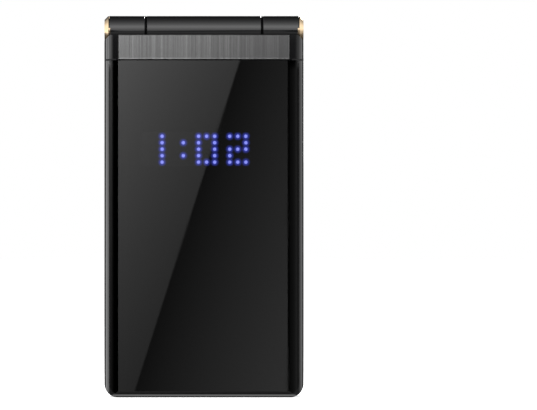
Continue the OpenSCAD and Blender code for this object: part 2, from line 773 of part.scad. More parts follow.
module base_side() intersection() {
    union() {
        translate([base_front, 0]) square([base_rim - rear_end_d - base_front, base_top]);
        translate([base_front, rear_end_r]) square([base_rim - base_front, base_top - 2*rear_end_r]);
        for (z = [rear_end_r, base_top - rear_end_r]) translate([base_rim - rear_end_d, z]) circle(rear_end_r);
    }
    translate([base_front, 0]) square([base_rim - base_front, base_top]);
}

// Whole outer form of the keypad half, up to the plane that the cover slides on
module base_form() intersection() {
    linear_extrude(base_top) base_plan();
    along_y(base_front, base_rim) half_outline(base_top, base_corner_cut);
    along_x(-half_w, half_w) base_side();
}

module key_windows(grow, y0, y1) along_y(y0, y1) {
    for (i = [0:11]) translate(number_at(i)) round_rect(key_w + 2*grow, key_h + 2*grow, key_r);
    for (p = side_key_at) translate(p) round_rect(side_key_w + 2*grow, key_h + 2*grow, key_r);
    translate([0, nav_z]) circle(nav_r + grow);
}

module base_front_shell() color(black) difference() {
    union() {
        difference() {
            intersection() {
                base_form();
                slab(base_front, base_split);
            }
            along_y(plate_back, base_split + 1)
                panel(cavity_w, cavity_low, cavity_top, corner_r - wall, 0.5);
            on_axis(-base_knuckle, base_knuckle, relief_r);
            for (s = [0, 1]) mirror([s, 0, 0]) on_axis(barrel_end - cap_collar, half_w + 1, barrel_r + 0.02);
        }
        for (p = base_screw_at) hole_y(p, boss_r, plate_back - 0.2, base_split);
        for (s = [0, 1]) mirror([s, 0, 0]) difference() {
            union() {
                knuckle(base_knuckle, barrel_end);
                on_axis(lid_knuckle + rub_gap, base_knuckle + 1, barrel_r - 0.3);
            }
            difference() {
                on_axis(barrel_end - cap_collar, barrel_end + 1, barrel_r + 1);
                block(0, half_w, hinge_y - body_w, hinge_y + body_w, hinge_z + collar_rise, body_h);
            }
        }
    }
    key_windows(key_gap, base_front - 1, plate_back + 1);
    for (p = base_screw_at) hole_y(p, screw_r + 0.02, plate_back + 0.5, base_split + 1);
    // Cartridge socket, bush seat and cap bores
    flat_axis(base_knuckle - 1, head_end + 0.1, bore_r, head_flat + 2*run_fit);
    on_axis(-head_end - 0.1, -base_knuckle + 1, bush_r + 0.01);
    for (s = [0, 1]) mirror([s, 0, 0]) on_axis(head_end, barrel_end + 1, bore_r);
    // Way of the flex down to the board
    block(-head_end - 2.8, -head_end - 0.5, board_front - flex_t - 0.3, board_front + 0.3,
        cavity_top - 1, hinge_z);
    // Microphone hole, socket openings
    hole_y([mic_x, mic_z], 0.5, base_front - 1, plate_back + 1);
    socket_openings();
}

module socket_openings() {
    translate([jack_x, jack_y, -1]) cylinder(r = nose_r + 0.1, h = cavity_low + 2);
    block(-usb_w/2 - 0.2, usb_w/2 + 0.2, board_back - 0.2, board_back + usb_h + 0.2, -1, cavity_low + 1);
}

// Room in which a cover hook slides, with the wide mouth where it lifts out
module hook_room(z) {
    block(hook_x - 0.15, hook_x + hook_t + hook_foot + 0.2, hook_y - 0.1, hook_y + 0.8,
        z - hook_len/2 - cover_travel - 0.3, z + hook_len/2 + 0.3);
    block(hook_x - 0.15, hook_x + hook_t + 0.15, hook_y, base_rim + 1,
        z - hook_len/2 - cover_travel - 0.3, z + hook_len/2 + 0.3);
    block(hook_x - 0.15, hook_x + hook_t + hook_foot + 0.2, hook_y, base_rim + 1,
        z - hook_len/2 - cover_travel - 0.3, z + hook_len/2 - cover_travel + 0.3);
}

// Spaces of the rear shell, drawn in along its rounded edges
module rear_cavity() intersection() {
    along_y(base_split - 1, rear_roof) {
        panel(cavity_w, cavity_low, low_cavity_top, corner_r - wall, 0.5);
        panel(cavity_w, high_cavity_low, cavity_top, 0.5, 0.5);
        for (s = [-1, 1]) translate([s*(bay_w/2 + cavity_w/2 + wall)/2, (bay_low + bay_top)/2])
            square([(cavity_w - bay_w)/2 - wall, bay_top - bay_low - 2*wall], center = true);
    }
    linear_extrude(body_h) polygon([[-cavity_w/2, base_split - 1], [cavity_w/2, base_split - 1],
        [cavity_w/2, rear_roof - wall], [cavity_w/2 - wall, rear_roof], [-cavity_w/2 + wall, rear_roof],
        [-cavity_w/2, rear_roof - wall]]);
}

module base_rear_shell() color(black) difference() {
    union() {
        difference() {
            intersection() {
                base_form();
                slab(base_split, base_rim);
            }
            rear_cavity();
        }
        // Rails that carry the cover's hooks
        intersection() {
            base_form();
            for (s = [-1, 1]) along_y(hook_y - 0.8, base_rim)
                translate([s*(bay_w/2 + cavity_w/2 + wall)/2, (bay_low + bay_top)/2])
                    square([(cavity_w - bay_w)/2 - wall + 0.5, bay_top - bay_low], center = true);
        }
        for (p = base_screw_at) hole_y(p, boss_r + 0.5, base_split, rear_roof + 0.2);
        block(-half_w + 1, strap_x + strap_w/2 + 0.9, base_split + 0.6, rear_roof + 0.2,
            strap_z - strap_h/2 - 0.9, strap_z + strap_h/2 + 0.9);
    }
    // Battery bay with windows for the cards and the contacts
    block(-bay_w/2, bay_w/2, bay_floor, base_rim + 1, bay_low, bay_top);
    block(-bay_w/2 + 1, bay_w/2 - 1, base_split - 1, bay_floor - floor_t, bay_low + 1, bay_top - 1);
    for (c = card_at) block(c[0] - c[2]/2 - 0.3, c[0] + c[2]/2 + 0.3, base_split - 1, bay_floor + 1,
        c[1] - c[3]/2 - 0.3, c[1] + c[3]/2 + 0.3);
    block(contact_x - contact_w/2 - 0.2, contact_x + contact_w/2 + 0.2, base_split - 1, contact_back + 0.2,
        bay_top - 1, high_cavity_low + 1);
    for (s = [0, 1], z = hook_at) mirror([s, 0, 0]) hook_room(z);
    // Screws
    for (p = base_screw_at) {
        hole_y(p, screw_r + 0.15, base_split - 1, base_rim);
        hole_y(p, screw_head_r + 0.3, base_seat, base_rim + 1);
    }
    // Windows under the rear panel
    block(speaker_x0 - 0.3, speaker_x1 + 0.3, rear_roof - 1, base_rim + 1,
        slot_z - mesh_h/2, slot_z + mesh_h/2);
    along_y(rear_roof - 1, base_rim + 1) translate([-cam_x, lens_z]) square([8.8, 8.8], center = true);
    along_y(rear_roof - 1, base_rim + 1) translate([-cam_x, flash_z]) square([4.6, 4.2], center = true);
    socket_openings();
    strap_hole();
}

// Eyelet for a wrist strap: in at the side, out at the rear
module strap_hole() {
    low = strap_z - strap_h/2;
    high = strap_z + strap_h/2;
    block(strap_x - strap_w/2, strap_x + strap_w/2, base_rim - 4, island_top, low, high);
    block(-half_w - 1, strap_x + strap_w/2, base_rim - 4, base_rim - 2, low, high);
}

// Flat plate of the rear face with a small chamfer round it
module rear_plate(y0, z0, z1, r0, r1) intersection() {
    along_y(y0, base_back) panel(cover_w, z0, z1, r0, r1);
    linear_extrude(body_h) polygon([[-cover_w/2, y0], [cover_w/2, y0],
        [cover_w/2, base_back - plate_cut], [cover_w/2 - plate_cut, base_back],
        [-cover_w/2 + plate_cut, base_back], [-cover_w/2, base_back - plate_cut]]);
    along_x(-half_w, half_w) polygon([[y0, z0], [base_back - plate_cut, z0], [base_back, z0 + plate_cut],
        [base_back, z1 - plate_cut], [base_back - plate_cut, z1], [y0, z1]]);
}

// Edge of the island, as [outwards, up]: a slope that runs out in a fillet
slope_foot = [island_slope, island_fillet];
slope_angle = asin(island_fillet/norm(slope_foot - [0, island_rise]))
    - atan2(island_fillet - island_rise, island_slope);
slope_end = slope_foot - island_fillet*[sin(slope_angle), cos(slope_angle)];
module island_edge(reach) difference() {
    polygon([[-reach, -cover_t/2], [-reach, island_rise], [0, island_rise], slope_end, [island_slope, 0],
        [island_slope, -cover_t/2]]);
    translate(slope_foot) circle(island_fillet);
}

module island_profile(half) for (s = [0, 1]) mirror([s, 0]) translate([half, 0]) island_edge(half + 0.1);

// Raised part of the rear panel: two bars with sloped sides and four turned corners
module island() intersection() {
    translate([0, base_back, island_z]) {
        along_x(-island_w/2 + island_r, island_w/2 - island_r) mirror([1, -1]) island_profile(island_h/2);
        translate([0, 0, -island_h/2 + island_r]) linear_extrude(island_h - 2*island_r)
            island_profile(island_w/2);
        for (x = [-1, 1], z = [-1, 1])
            translate([x*(island_w/2 - island_r), 0, z*(island_h/2 - island_r)]) rotate([-90, 0, 0])
                rotate_extrude() translate([island_r, 0]) island_edge(island_r);
    }
    along_y(base_rim, body_w) panel(cover_w - 2*plate_cut, panel_low + plate_cut,
        base_top - cover_margin - plate_cut, 0.3, panel_r);
}

// V-groove that sets off the island's top plate
module island_groove() translate([0, 0, island_z]) {
    rim = 0.2;
    w = island_w - 2*rim - groove_w;
    h = island_h - 2*rim - groove_w;
    r = island_r - rim - groove_w/2;
    difference() {
        flared_block(w, h, r, groove_w, island_top - groove_d, island_top + groove_d);
        flared_block(w, h, r, -groove_w, island_top - groove_d, island_top + groove_d);
    }
}

// One row of the speaker grille, as slots that follow each other
module slot_row(parts) {
    gap = (slot_len - 2*slot_part - 2*slot_bridge);
    lengths = parts == 1 ? [slot_len] : [slot_part, gap, slot_part];
    starts = parts == 1 ? [0] : [0, slot_part + slot_bridge, slot_len - slot_part];
    for (i = [0:len(lengths) - 1]) translate([slot_x + starts[i] + lengths[i]/2, 0])
        round_rect(lengths[i], slot_h, slot_r);
}

module rear_panel() color(grey) difference() {
    union() {
        rear_plate(base_rim, panel_low, base_top - cover_margin, 0.3, panel_r);
        island();
    }
    island_groove();
    // Speaker slots and the bed of the mesh
    for (i = [0:3]) along_y(base_rim - 1, island_top + 1)
        translate([0, slot_z + (1.5 - i)*slot_pitch]) slot_row(i%2 == 0 ? 1 : 3);
    block(mesh_x0, mesh_x1, base_rim - 1, mesh_back, slot_z - mesh_h/2, slot_z + mesh_h/2);
    // Camera window with a stepped bed
    along_y(window_bed, island_top + 1) translate([-cam_x, island_z])
        round_rect(cam_w + 2*seam, cam_h + 2*seam, cam_r + seam);
    along_y(base_rim - 1, island_top) translate([-cam_x, island_z]) {
        translate([0, lens_up]) square([7.6, 7.2], center = true);
        translate([0, -flash_down]) square([flash_w + 0.4, flash_h + 0.4], center = true);
    }
    strap_hole();
    block(-half_w, notch_x, base_back - notch_d, island_top, strap_z - notch_h/2, strap_z + notch_h/2);
}

module speaker_mesh() color(gold)
    block(mesh_x0 + seam, mesh_x1 - seam, mesh_back - mesh_t, mesh_back, slot_z - mesh_h/2 + seam,
        slot_z + mesh_h/2 - seam);

module speaker() color(grey) difference() {
    block(speaker_x0, speaker_x1, bay_floor - 0.3, mesh_back - mesh_t - 0.05, slot_z - mesh_h/2 + 0.2,
        slot_z + mesh_h/2 - 0.2);
    along_y(mesh_back - mesh_t - 0.6, island_top) translate([(speaker_x0 + speaker_x1)/2, slot_z])
        round_rect(speaker_x1 - speaker_x0 - 2, mesh_h - 2.4, 3);
}

module camera_frame() color(gold) along_y(window_bed, island_top) translate([-cam_x, island_z])
    difference() {
        round_rect(cam_w, cam_h, cam_r);
        round_rect(cam_w - 2*cam_rim, cam_h - 2*cam_rim, cam_r - cam_rim);
    }

module camera_glass() color([0.03, 0.03, 0.035]) along_y(window_bed, window_bed + window_t)
    translate([-cam_x, island_z]) difference() {
        round_rect(cam_w - 2*cam_rim - seam, cam_h - 2*cam_rim - seam, cam_r - cam_rim);
        translate([0, lens_up]) circle(lens_r + seam);
        translate([0, -flash_down]) square([flash_w + 2*seam, flash_h + 2*seam], center = true);
    }

module camera_module() color(grey) difference() {
    union() {
        along_y(base_rim - 4.2, base_rim) translate([-cam_x, lens_z]) square([8.4, 8.4], center = true);
        along_y(base_rim, window_bed) translate([-cam_x, lens_z]) square([7, 6.8], center = true);
        hole_y([-cam_x, lens_z], lens_r, window_bed, window_bed + window_t - 0.05);
    }
    hole_y([-cam_x, lens_z], lens_r - 0.5, window_bed + window_t - 0.45, island_top);
}

module flash_lamp() color([0.95, 0.9, 0.7]) {
    along_y(rear_roof, base_rim) translate([-cam_x, flash_z]) square([4.2, 3.8], center = true);
    along_y(base_rim, window_bed + window_t - 0.05) translate([-cam_x, flash_z])
        square([flash_w, flash_h], center = true);
}

// Thumb mark: two bars and an arrowhead, pressed into the cover
module thumb_mark() {
    mark_w = 9.2;
    line = 0.4;
    for (z = [70.85, 69.25]) translate([0, z]) square([mark_w, line], center = true);
    difference() {
        polygon([[-mark_w/2, 67.9], [mark_w/2, 67.9], [0, 65.1]]);
        polygon([[-mark_w/2 + 1.5, 67.5], [mark_w/2 - 1.5, 67.5], [0, 65.6]]);
    }
}

module battery_cover() color(grey) {
    difference() {
        rear_plate(base_rim + slide_gap, cover_margin, cover_line - cover_gap/2, cover_r, 0.3);
        along_y(base_back - 0.22, base_back + 1) thumb_mark();
    }
    for (s = [0, 1], z = hook_at) mirror([s, 0, 0]) {
        block(hook_x, hook_x + hook_t, hook_y, base_rim + slide_gap, z - hook_len/2, z + hook_len/2);
        block(hook_x, hook_x + hook_t + hook_foot, hook_y, hook_y + 0.65, z - hook_len/2, z + hook_len/2);
    }
}

// ---- Inside the keypad half ----

module keypad_mat() color(grey) difference() {
    block(-cavity_w/2 + 0.4, cavity_w/2 - 0.4, plate_back, film_top, mat_low, mat_top);
    key_windows(key_lip + 0.2, plate_back - 1, film_top + 1);
    for (p = base_screw_at) hole_y(p, boss_r + 0.3, plate_back - 1, film_top + 1);
}

// Film with one snap dome under each key and four under the ring
module dome_sheet() color(steel) {
    difference() {
        block(-cavity_w/2 + 0.9, cavity_w/2 - 0.9, film_top, board_front, mat_low + 0.3, mat_top - 0.3);
        for (p = base_screw_at) hole_y(p, boss_r + 0.3, film_top - 1, board_front + 1);
    }
    for (p = concat([for (i = [0:11]) number_at(i)], side_key_at, [[0, nav_z]],
            [for (a = [0:90:270]) [0, nav_z] + nav_dome*[cos(a), sin(a)]]))
        hole_y(p, 1.8, dome_top, film_top + 0.05);
}

module main_board() color(green) {
    difference() {
        along_y(board_front, board_back) panel(board_w, board_low, board_top, 2, 1);
        for (p = base_screw_at) hole_y(p, boss_r + 0.15, board_front - 1, board_back + 1);
    }
    // Microphone behind its hole in the face plate
    block(mic_x - 2, mic_x + 2, plate_back + 0.15, board_front + 0.05, mic_z - 1.3, mic_z + 1.1);
}

module shield_cans() color(steel) along_y(board_back, board_back + shield_t) {
    translate([-10, 81]) round_rect(18, 13, 0.5);
    translate([10.2, 83]) round_rect(18, 15, 0.5);
}

module antenna() color([0.7, 0.55, 0.3])
    block(4.6, 18.6, rear_roof - 0.25, rear_roof, 1.6, low_cavity_top - 0.4);

module card_holders() color(steel) for (c = card_at) difference() {
    block(c[0] - c[2]/2, c[0] + c[2]/2, board_back, bay_floor - 0.1, c[1] - c[3]/2, c[1] + c[3]/2);
    block(c[0] - c[2]/2 + 0.3, c[0] + c[2]/2 - 0.3, board_back + 0.5, bay_floor - 0.4,
        c[1] - c[3]/2 - 1, c[1] + c[3]/2 - 0.5);
}

module battery_contacts() color([0.8, 0.65, 0.3]) {
    block(contact_x - contact_w/2, contact_x + contact_w/2, board_back, contact_back, bay_top + 0.2,
        high_cavity_low - 2.2);
    for (i = [-1:1]) block(contact_x + i*2.8 - 0.5, contact_x + i*2.8 + 0.5, contact_back - 1.6,
        contact_back - 0.6, battery_z + battery_h + 0.05, bay_top + 0.3);
}

module battery() color([0.16, 0.2, 0.3]) along_y(battery_front, battery_back)
    translate([0, battery_z + battery_h/2]) round_rect(battery_w, battery_h, 1.2);

module usb_socket() color(steel) difference() {
    block(-usb_w/2, usb_w/2, board_back, board_back + usb_h, 0.6, 6.2);
    difference() {
        block(-usb_w/2 + 0.3, usb_w/2 - 0.3, board_back + 0.3, board_back + usb_h - 0.3, 0, 5.4);
        block(-usb_w/2 + 1.8, usb_w/2 - 1.8, board_back + 1.1, board_back + 1.7, 1.2, 6);
    }
}

module audio_jack() color(black) difference() {
    union() {
        block(jack_x - jack_body_w/2, jack_x + jack_body_w/2, board_back, board_back + jack_body_h,
            cavity_low + 0.1, jack_len + 0.6);
        translate([jack_x, jack_y, 0.4]) cylinder(r = nose_r, h = cavity_low);
    }
    translate([jack_x, jack_y, 0.4 - 1]) cylinder(r = jack_bore_r, h = jack_len - 0.4 + 1);
}

module vibration_motor() color(steel) hole_y([14, 9.8], 4, board_back, board_back + 2.7);

module base_screws() color(steel) for (p = base_screw_at) screw(p, base_seat, plate_back + 0.9);

// ---- Keys ----

// Key with a crowned cap, a lip under the face plate and a nub over its dome
module key_form(at, w, h) translate([at[0], 0, at[1]]) {
    intersection() {
        along_y(base_front - key_rise, key_lip_y) round_rect(w, h, key_r);
        along_x(-w, w) translate([base_front - key_rise + key_crown_r, 0]) circle(key_crown_r, $fn = 128);
    }
    along_y(key_lip_y, key_lip_y + key_lip_t) round_rect(w + 2*key_lip, h + 2*key_lip, key_r);
    hole_y([0, 0], 1.2, key_lip_y, nub_y);
}

module number_key(i) color(grey) key_form(number_at(i), key_w, key_h);

module soft_key_left() color(grey) key_form(side_key_at[0], side_key_w, key_h);
module soft_key_right() color(grey) key_form(side_key_at[1], side_key_w, key_h);
module call_key() color([0.1, 0.5, 0.2]) key_form(side_key_at[2], side_key_w, key_h);
module end_key() color([0.7, 0.12, 0.1]) key_form(side_key_at[3], side_key_w, key_h);

module ok_key() color(steel) {
    hole_y([0, nav_z], ok_r, base_front + 0.05, ok_lip_y);
    hole_y([0, nav_z], ok_r + key_lip, ok_lip_y, ok_lip_y + key_lip_t);
    hole_y([0, nav_z], 1.2, ok_lip_y, nub_y);
}

// Four-way ring, held under the face plate by its lip
module nav_ring() color(gold) {
    difference() {
        union() {
            hole_y([0, nav_z], nav_r, base_front + 0.1, ring_lip_y);
            hole_y([0, nav_z], nav_r + key_lip, ring_lip_y, ring_lip_y + key_lip_t);
        }
        hole_y([0, nav_z], ok_r + 0.25, base_front - 1, plate_back);
        hole_y([0, nav_z], ok_r + key_lip + 0.4, plate_back - 0.1, ring_lip_y + 2);
    }
    for (a = [0:90:270]) hole_y([0, nav_z] + nav_dome*[cos(a), sin(a)], 1.2, ring_lip_y, nub_y);
}

lid_outer_shell();
lid_inner_shell();
outer_glass();
brushed_strip();
clock_board();
clock_lamps();
display_module();
display_glass();
earpiece();
lid_magnet();
lid_screws();
lid_bumpers();
hinge_can();
hinge_follower();
hinge_spring();
lid_flex();
base_front_shell();
base_rear_shell();
rear_panel();
end_caps();
hinge_cam();
hinge_bush();
flex_tail();
keypad_mat();
dome_sheet();
main_board();
shield_cans();
antenna();
speaker();
speaker_mesh();
camera_frame();
camera_glass();
camera_module();
flash_lamp();
battery();
battery_contacts();
card_holders();
usb_socket();
audio_jack();
vibration_motor();
base_screws();
battery_cover();
nav_ring();
ok_key();
soft_key_left();
soft_key_right();
call_key();
end_key();
number_key(0);  // key_1
number_key(1);  // key_2
number_key(2);  // key_3
number_key(3);  // key_4
number_key(4);  // key_5
number_key(5);  // key_6
number_key(6);  // key_7
number_key(7);  // key_8
number_key(8);  // key_9
number_key(9);  // key_star
number_key(10);  // key_0
number_key(11);  // key_hash
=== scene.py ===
import math
import bpy
import bmesh
from mathutils import Matrix, Vector
from mathutils.bvhtree import BVHTree


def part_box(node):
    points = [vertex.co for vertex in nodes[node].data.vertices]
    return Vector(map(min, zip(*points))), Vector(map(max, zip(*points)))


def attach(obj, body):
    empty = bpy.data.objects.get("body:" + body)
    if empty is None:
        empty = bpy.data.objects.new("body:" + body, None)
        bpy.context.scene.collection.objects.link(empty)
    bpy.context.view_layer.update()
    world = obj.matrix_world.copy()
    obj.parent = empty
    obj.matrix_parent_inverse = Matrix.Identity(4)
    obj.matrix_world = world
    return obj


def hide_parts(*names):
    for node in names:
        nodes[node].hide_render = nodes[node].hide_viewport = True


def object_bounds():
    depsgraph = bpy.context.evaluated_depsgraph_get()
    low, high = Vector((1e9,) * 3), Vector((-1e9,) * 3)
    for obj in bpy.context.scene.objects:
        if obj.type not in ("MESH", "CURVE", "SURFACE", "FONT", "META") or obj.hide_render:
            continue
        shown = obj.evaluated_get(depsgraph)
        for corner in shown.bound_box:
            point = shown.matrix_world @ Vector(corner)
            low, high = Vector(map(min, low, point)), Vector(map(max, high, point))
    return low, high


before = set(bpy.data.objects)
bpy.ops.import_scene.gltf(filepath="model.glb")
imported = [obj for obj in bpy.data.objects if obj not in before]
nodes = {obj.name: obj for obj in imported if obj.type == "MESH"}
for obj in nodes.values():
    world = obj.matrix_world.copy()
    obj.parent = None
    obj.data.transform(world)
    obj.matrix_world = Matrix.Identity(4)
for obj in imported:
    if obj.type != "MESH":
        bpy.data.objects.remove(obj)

mm = 0.001
cadLow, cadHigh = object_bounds()
middle = (cadLow + cadHigh) / 2
print("frame loaded:", len(nodes), "nodes")


# small node helpers, used by every material and by the dome

def plug(tree, socket, value):
    if isinstance(value, bpy.types.NodeSocket):
        tree.links.new(value, socket)
    else:
        socket.default_value = value


def addNode(tree, kind, inputs=None, **settings):
    made = tree.nodes.new(kind)
    for name, value in settings.items():
        setattr(made, name, value)
    for name, value in (inputs or {}).items():
        plug(tree, made.inputs[name], value)
    return made


def maths(tree, operation, *values):
    made = addNode(tree, "ShaderNodeMath", operation=operation)
    for socket, value in zip(made.inputs, values):
        plug(tree, socket, value)
    return made.outputs[0]


def smoothStep(tree, value, low, high):
    made = addNode(tree, "ShaderNodeMapRange", interpolation_type="SMOOTHSTEP",
                   inputs={"Value": value, "From Min": low, "From Max": high})
    return made.outputs[0]


def blendValue(tree, factor, a, b):
    made = addNode(tree, "ShaderNodeMix", inputs={0: factor, 2: a, 3: b})
    return made.outputs[0]


def blendColour(tree, factor, a, b):
    made = addNode(tree, "ShaderNodeMix", data_type="RGBA", inputs={0: factor, 6: a, 7: b})
    return made.outputs[2]


def ramp(tree, factor, stops):
    made = addNode(tree, "ShaderNodeValToRGB", inputs={0: factor})
    elements = made.color_ramp.elements
    while len(elements) < len(stops):
        elements.new(0.5)
    for element, (place, level) in zip(elements, stops):
        element.position = place
    for element, (place, level) in zip(elements, stops):
        element.position = place
        element.color = (*level, 1) if hasattr(level, "__len__") else (level, level, level, 1)
    return made.outputs[0]


def objectPlace(tree, scale=(1, 1, 1)):
    where = addNode(tree, "ShaderNodeTexCoord").outputs["Object"]
    return addNode(tree, "ShaderNodeMapping", inputs={"Vector": where, "Scale": scale}).outputs[0]


def objectAxes(tree):
    where = addNode(tree, "ShaderNodeTexCoord").outputs["Object"]
    return addNode(tree, "ShaderNodeSeparateXYZ", inputs={0: where}).outputs


def noise(tree, place, scale, detail=2.0, roughness=0.5):
    made = addNode(tree, "ShaderNodeTexNoise",
                   inputs={"Vector": place, "Scale": scale, "Detail": detail, "Roughness": roughness})
    return made.outputs["Fac"]


# effects that several materials share, as node groups

def newGroup(name, inputs, outputs):
    group = bpy.data.node_groups.new(name, "ShaderNodeTree")
    for label, start in inputs:
        group.interface.new_socket(label, in_out="INPUT", socket_type="NodeSocketFloat").default_value = start
    for label in outputs:
        group.interface.new_socket(label, in_out="OUTPUT", socket_type="NodeSocketFloat")
    return group, group.nodes.new("NodeGroupInput").outputs, group.nodes.new("NodeGroupOutput").inputs


def makeHandling():
    # faint finger smears, sparse dust and hairlines of a phone that was wiped before the picture
    group, given, out = newGroup("handling", [("Smear", 0.5), ("Dust", 0.5)],
                                 ["Roughness", "Specks", "Height"])
    place = objectPlace(group)
    smear = noise(group, place, 45, 3, 0.6)
    smear = smoothStep(group, smear, 0.45, 0.75)
    lines = noise(group, objectPlace(group, (2600, 400, 90)), 1, 2)
    lines = smoothStep(group, lines, 0.68, 0.8)
    spots = addNode(group, "ShaderNodeTexVoronoi", feature="F1",
                    inputs={"Vector": place, "Scale": 900}).outputs["Distance"]
    spots = maths(group, "LESS_THAN", spots, 0.06)
    sparse = smoothStep(group, noise(group, place, 160, 2), 0.6, 0.72)
    spots = maths(group, "MULTIPLY", maths(group, "MULTIPLY", spots, sparse), given["Dust"])
    plug(group, out["Roughness"], maths(group, "MULTIPLY", smear, given["Smear"]))
    plug(group, out["Specks"], spots)
    plug(group, out["Height"], maths(group, "MULTIPLY", lines, given["Smear"]))
    return group


def makeGrain():
    # spark-eroded grain of a moulded face, in two sizes
    group, given, out = newGroup("mouldGrain", [("Size", 0.12), ("Depth", 1.0)], ["Height", "Tone"])
    place = objectPlace(group)
    frequency = maths(group, "DIVIDE", 1000, given["Size"])
    fine = addNode(group, "ShaderNodeTexNoise", inputs={"Vector": place, "Scale": frequency, "Detail": 2.0})
    cells = addNode(group, "ShaderNodeTexVoronoi", feature="F1",
                    inputs={"Vector": place, "Scale": maths(group, "MULTIPLY", frequency, 0.7)})
    height = maths(group, "MULTIPLY_ADD", cells.outputs["Distance"], 0.6, fine.outputs["Fac"])
    plug(group, out["Height"], maths(group, "MULTIPLY", height, given["Depth"]))
    plug(group, out["Tone"], noise(group, place, 60, 3, 0.6))
    return group


def makeBrushing():
    # parallel lines of a brushed sheet, long along Z
    group, given, out = newGroup("brushing", [("Across", 9000), ("Along", 60)], ["Height", "Tone"])
    place = addNode(group, "ShaderNodeTexCoord").outputs["Object"]
    scale = addNode(group, "ShaderNodeCombineXYZ",
                    inputs={"X": given["Across"], "Y": given["Along"], "Z": given["Along"]}).outputs[0]
    stretched = addNode(group, "ShaderNodeVectorMath", operation="MULTIPLY").outputs[0]
    plug(group, stretched.node.inputs[0], place)
    plug(group, stretched.node.inputs[1], scale)
    fine = noise(group, stretched, 1, 3, 0.7)
    coarse = noise(group, stretched, 0.22, 1)
    plug(group, out["Height"], fine)
    plug(group, out["Tone"], maths(group, "MULTIPLY_ADD", coarse, 0.5, maths(group, "MULTIPLY", fine, 0.5)))
    return group


sharedEffects = {"handling": makeHandling(), "grain": makeGrain(), "brushing": makeBrushing()}
print("shared shader groups made")


def effect(tree, name, **values):
    made = addNode(tree, "ShaderNodeGroup", node_tree=sharedEffects[name])
    for label, value in values.items():
        plug(tree, made.inputs[label], value)
    return made.outputs


def emptyMaterial(name):
    material = bpy.data.materials.new(name)
    material.use_nodes = True
    material.node_tree.nodes.clear()
    return material, material.node_tree


def newMaterial(name, **settings):
    material, tree = emptyMaterial(name)
    surface = addNode(tree, "ShaderNodeBsdfPrincipled")
    for label, value in settings.items():
        plug(tree, surface.inputs[label.replace("_", " ")], value)
    addNode(tree, "ShaderNodeOutputMaterial", inputs={"Surface": surface.outputs[0]})
    return material, tree, surface.inputs


def bump(tree, surface, height, distance, strength=1.0):
    made = addNode(tree, "ShaderNodeBump",
                   inputs={"Strength": strength, "Distance": distance, "Height": height})
    plug(tree, surface["Normal"], made.outputs[0])


# plastics

plasticLooks = {
    "glossColour": (0.006, 0.006, 0.0065, 1),
    "glossRoughness": 0.045,
    "softColour": (0.015, 0.015, 0.0155, 1),
    "softRoughness": 0.34,
    "softGrain": 0.09,
    "rimSpecular": 0.04,
    "rimRoughness": 0.25,
    "keyColour": (0.012, 0.012, 0.013, 1),
    "dustColour": (0.05, 0.05, 0.05, 1),
}


def glossPlastic(name, colour, roughness, smear=0.05):
    material, tree, surface = newMaterial(name, IOR=1.5)
    worn = effect(tree, "handling", Smear=smear, Dust=0.5)
    plug(tree, surface["Base Color"], blendColour(tree, worn["Specks"], colour, plasticLooks["dustColour"]))
    plug(tree, surface["Roughness"], maths(tree, "ADD", worn["Roughness"], roughness))
    bump(tree, surface, worn["Height"], 0.002 * mm, 0.4)
    return material


def rimPlastic(name):
    # the rear shell's border round the cover is a deep satin black
    material, tree, surface = newMaterial(name, IOR=1.5, Specular_IOR_Level=plasticLooks["rimSpecular"])
    worn = effect(tree, "handling", Smear=0.06, Dust=0.4)
    colour = plasticLooks["glossColour"]
    plug(tree, surface["Base Color"], blendColour(tree, worn["Specks"], colour, plasticLooks["dustColour"]))
    plug(tree, surface["Roughness"], maths(tree, "ADD", worn["Roughness"], plasticLooks["rimRoughness"]))
    return material


def lidPlastic(name):
    # the groove between the metal strip and the glass is left unpolished
    material, tree, surface = newMaterial(name, IOR=1.5)
    worn = effect(tree, "handling", Smear=0.05, Dust=0.5)
    colour = plasticLooks["glossColour"]
    plug(tree, surface["Base Color"], blendColour(tree, worn["Specks"], colour, plasticLooks["dustColour"]))
    parts = objectAxes(tree)
    glassTop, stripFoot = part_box("outer_glass")[1].z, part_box("brushed_strip")[0].z
    inGroove = maths(tree, "MULTIPLY", maths(tree, "GREATER_THAN", parts["Z"], glassTop - 0.1 * mm),
                     maths(tree, "LESS_THAN", parts["Z"], stripFoot + 0.1 * mm))
    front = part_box("lid_outer_shell")[0].y
    inGroove = maths(tree, "MULTIPLY", inGroove, maths(tree, "GREATER_THAN", parts["Y"], front + 0.05 * mm))
    rough = maths(tree, "MULTIPLY", inGroove, 0.8)
    rough = maths(tree, "ADD", rough, maths(tree, "ADD", worn["Roughness"], plasticLooks["glossRoughness"]))
    plug(tree, surface["Roughness"], rough)
    bump(tree, surface, worn["Height"], 0.002 * mm, 0.4)
    return material


def softPlastic(name, colour, roughness, grainSize, depth=0.01 * mm):
    material, tree, surface = newMaterial(name, IOR=1.5)
    grain = effect(tree, "grain", Size=grainSize, Depth=1.0)
    worn = effect(tree, "handling", Smear=0.06, Dust=0.6)
    lighter = tuple(1.5 * c for c in colour[:3]) + (1,)
    toned = blendColour(tree, grain["Tone"], colour, lighter)
    plug(tree, surface["Base Color"], blendColour(tree, worn["Specks"], toned, plasticLooks["dustColour"]))
    spread = maths(tree, "MULTIPLY_ADD", grain["Tone"], 0.08, roughness - 0.04)
    plug(tree, surface["Roughness"], maths(tree, "ADD", spread, worn["Roughness"]))
    bump(tree, surface, grain["Height"], depth, 0.6)
    return material


# glass: the outer one is nearly black and lets only the clock through

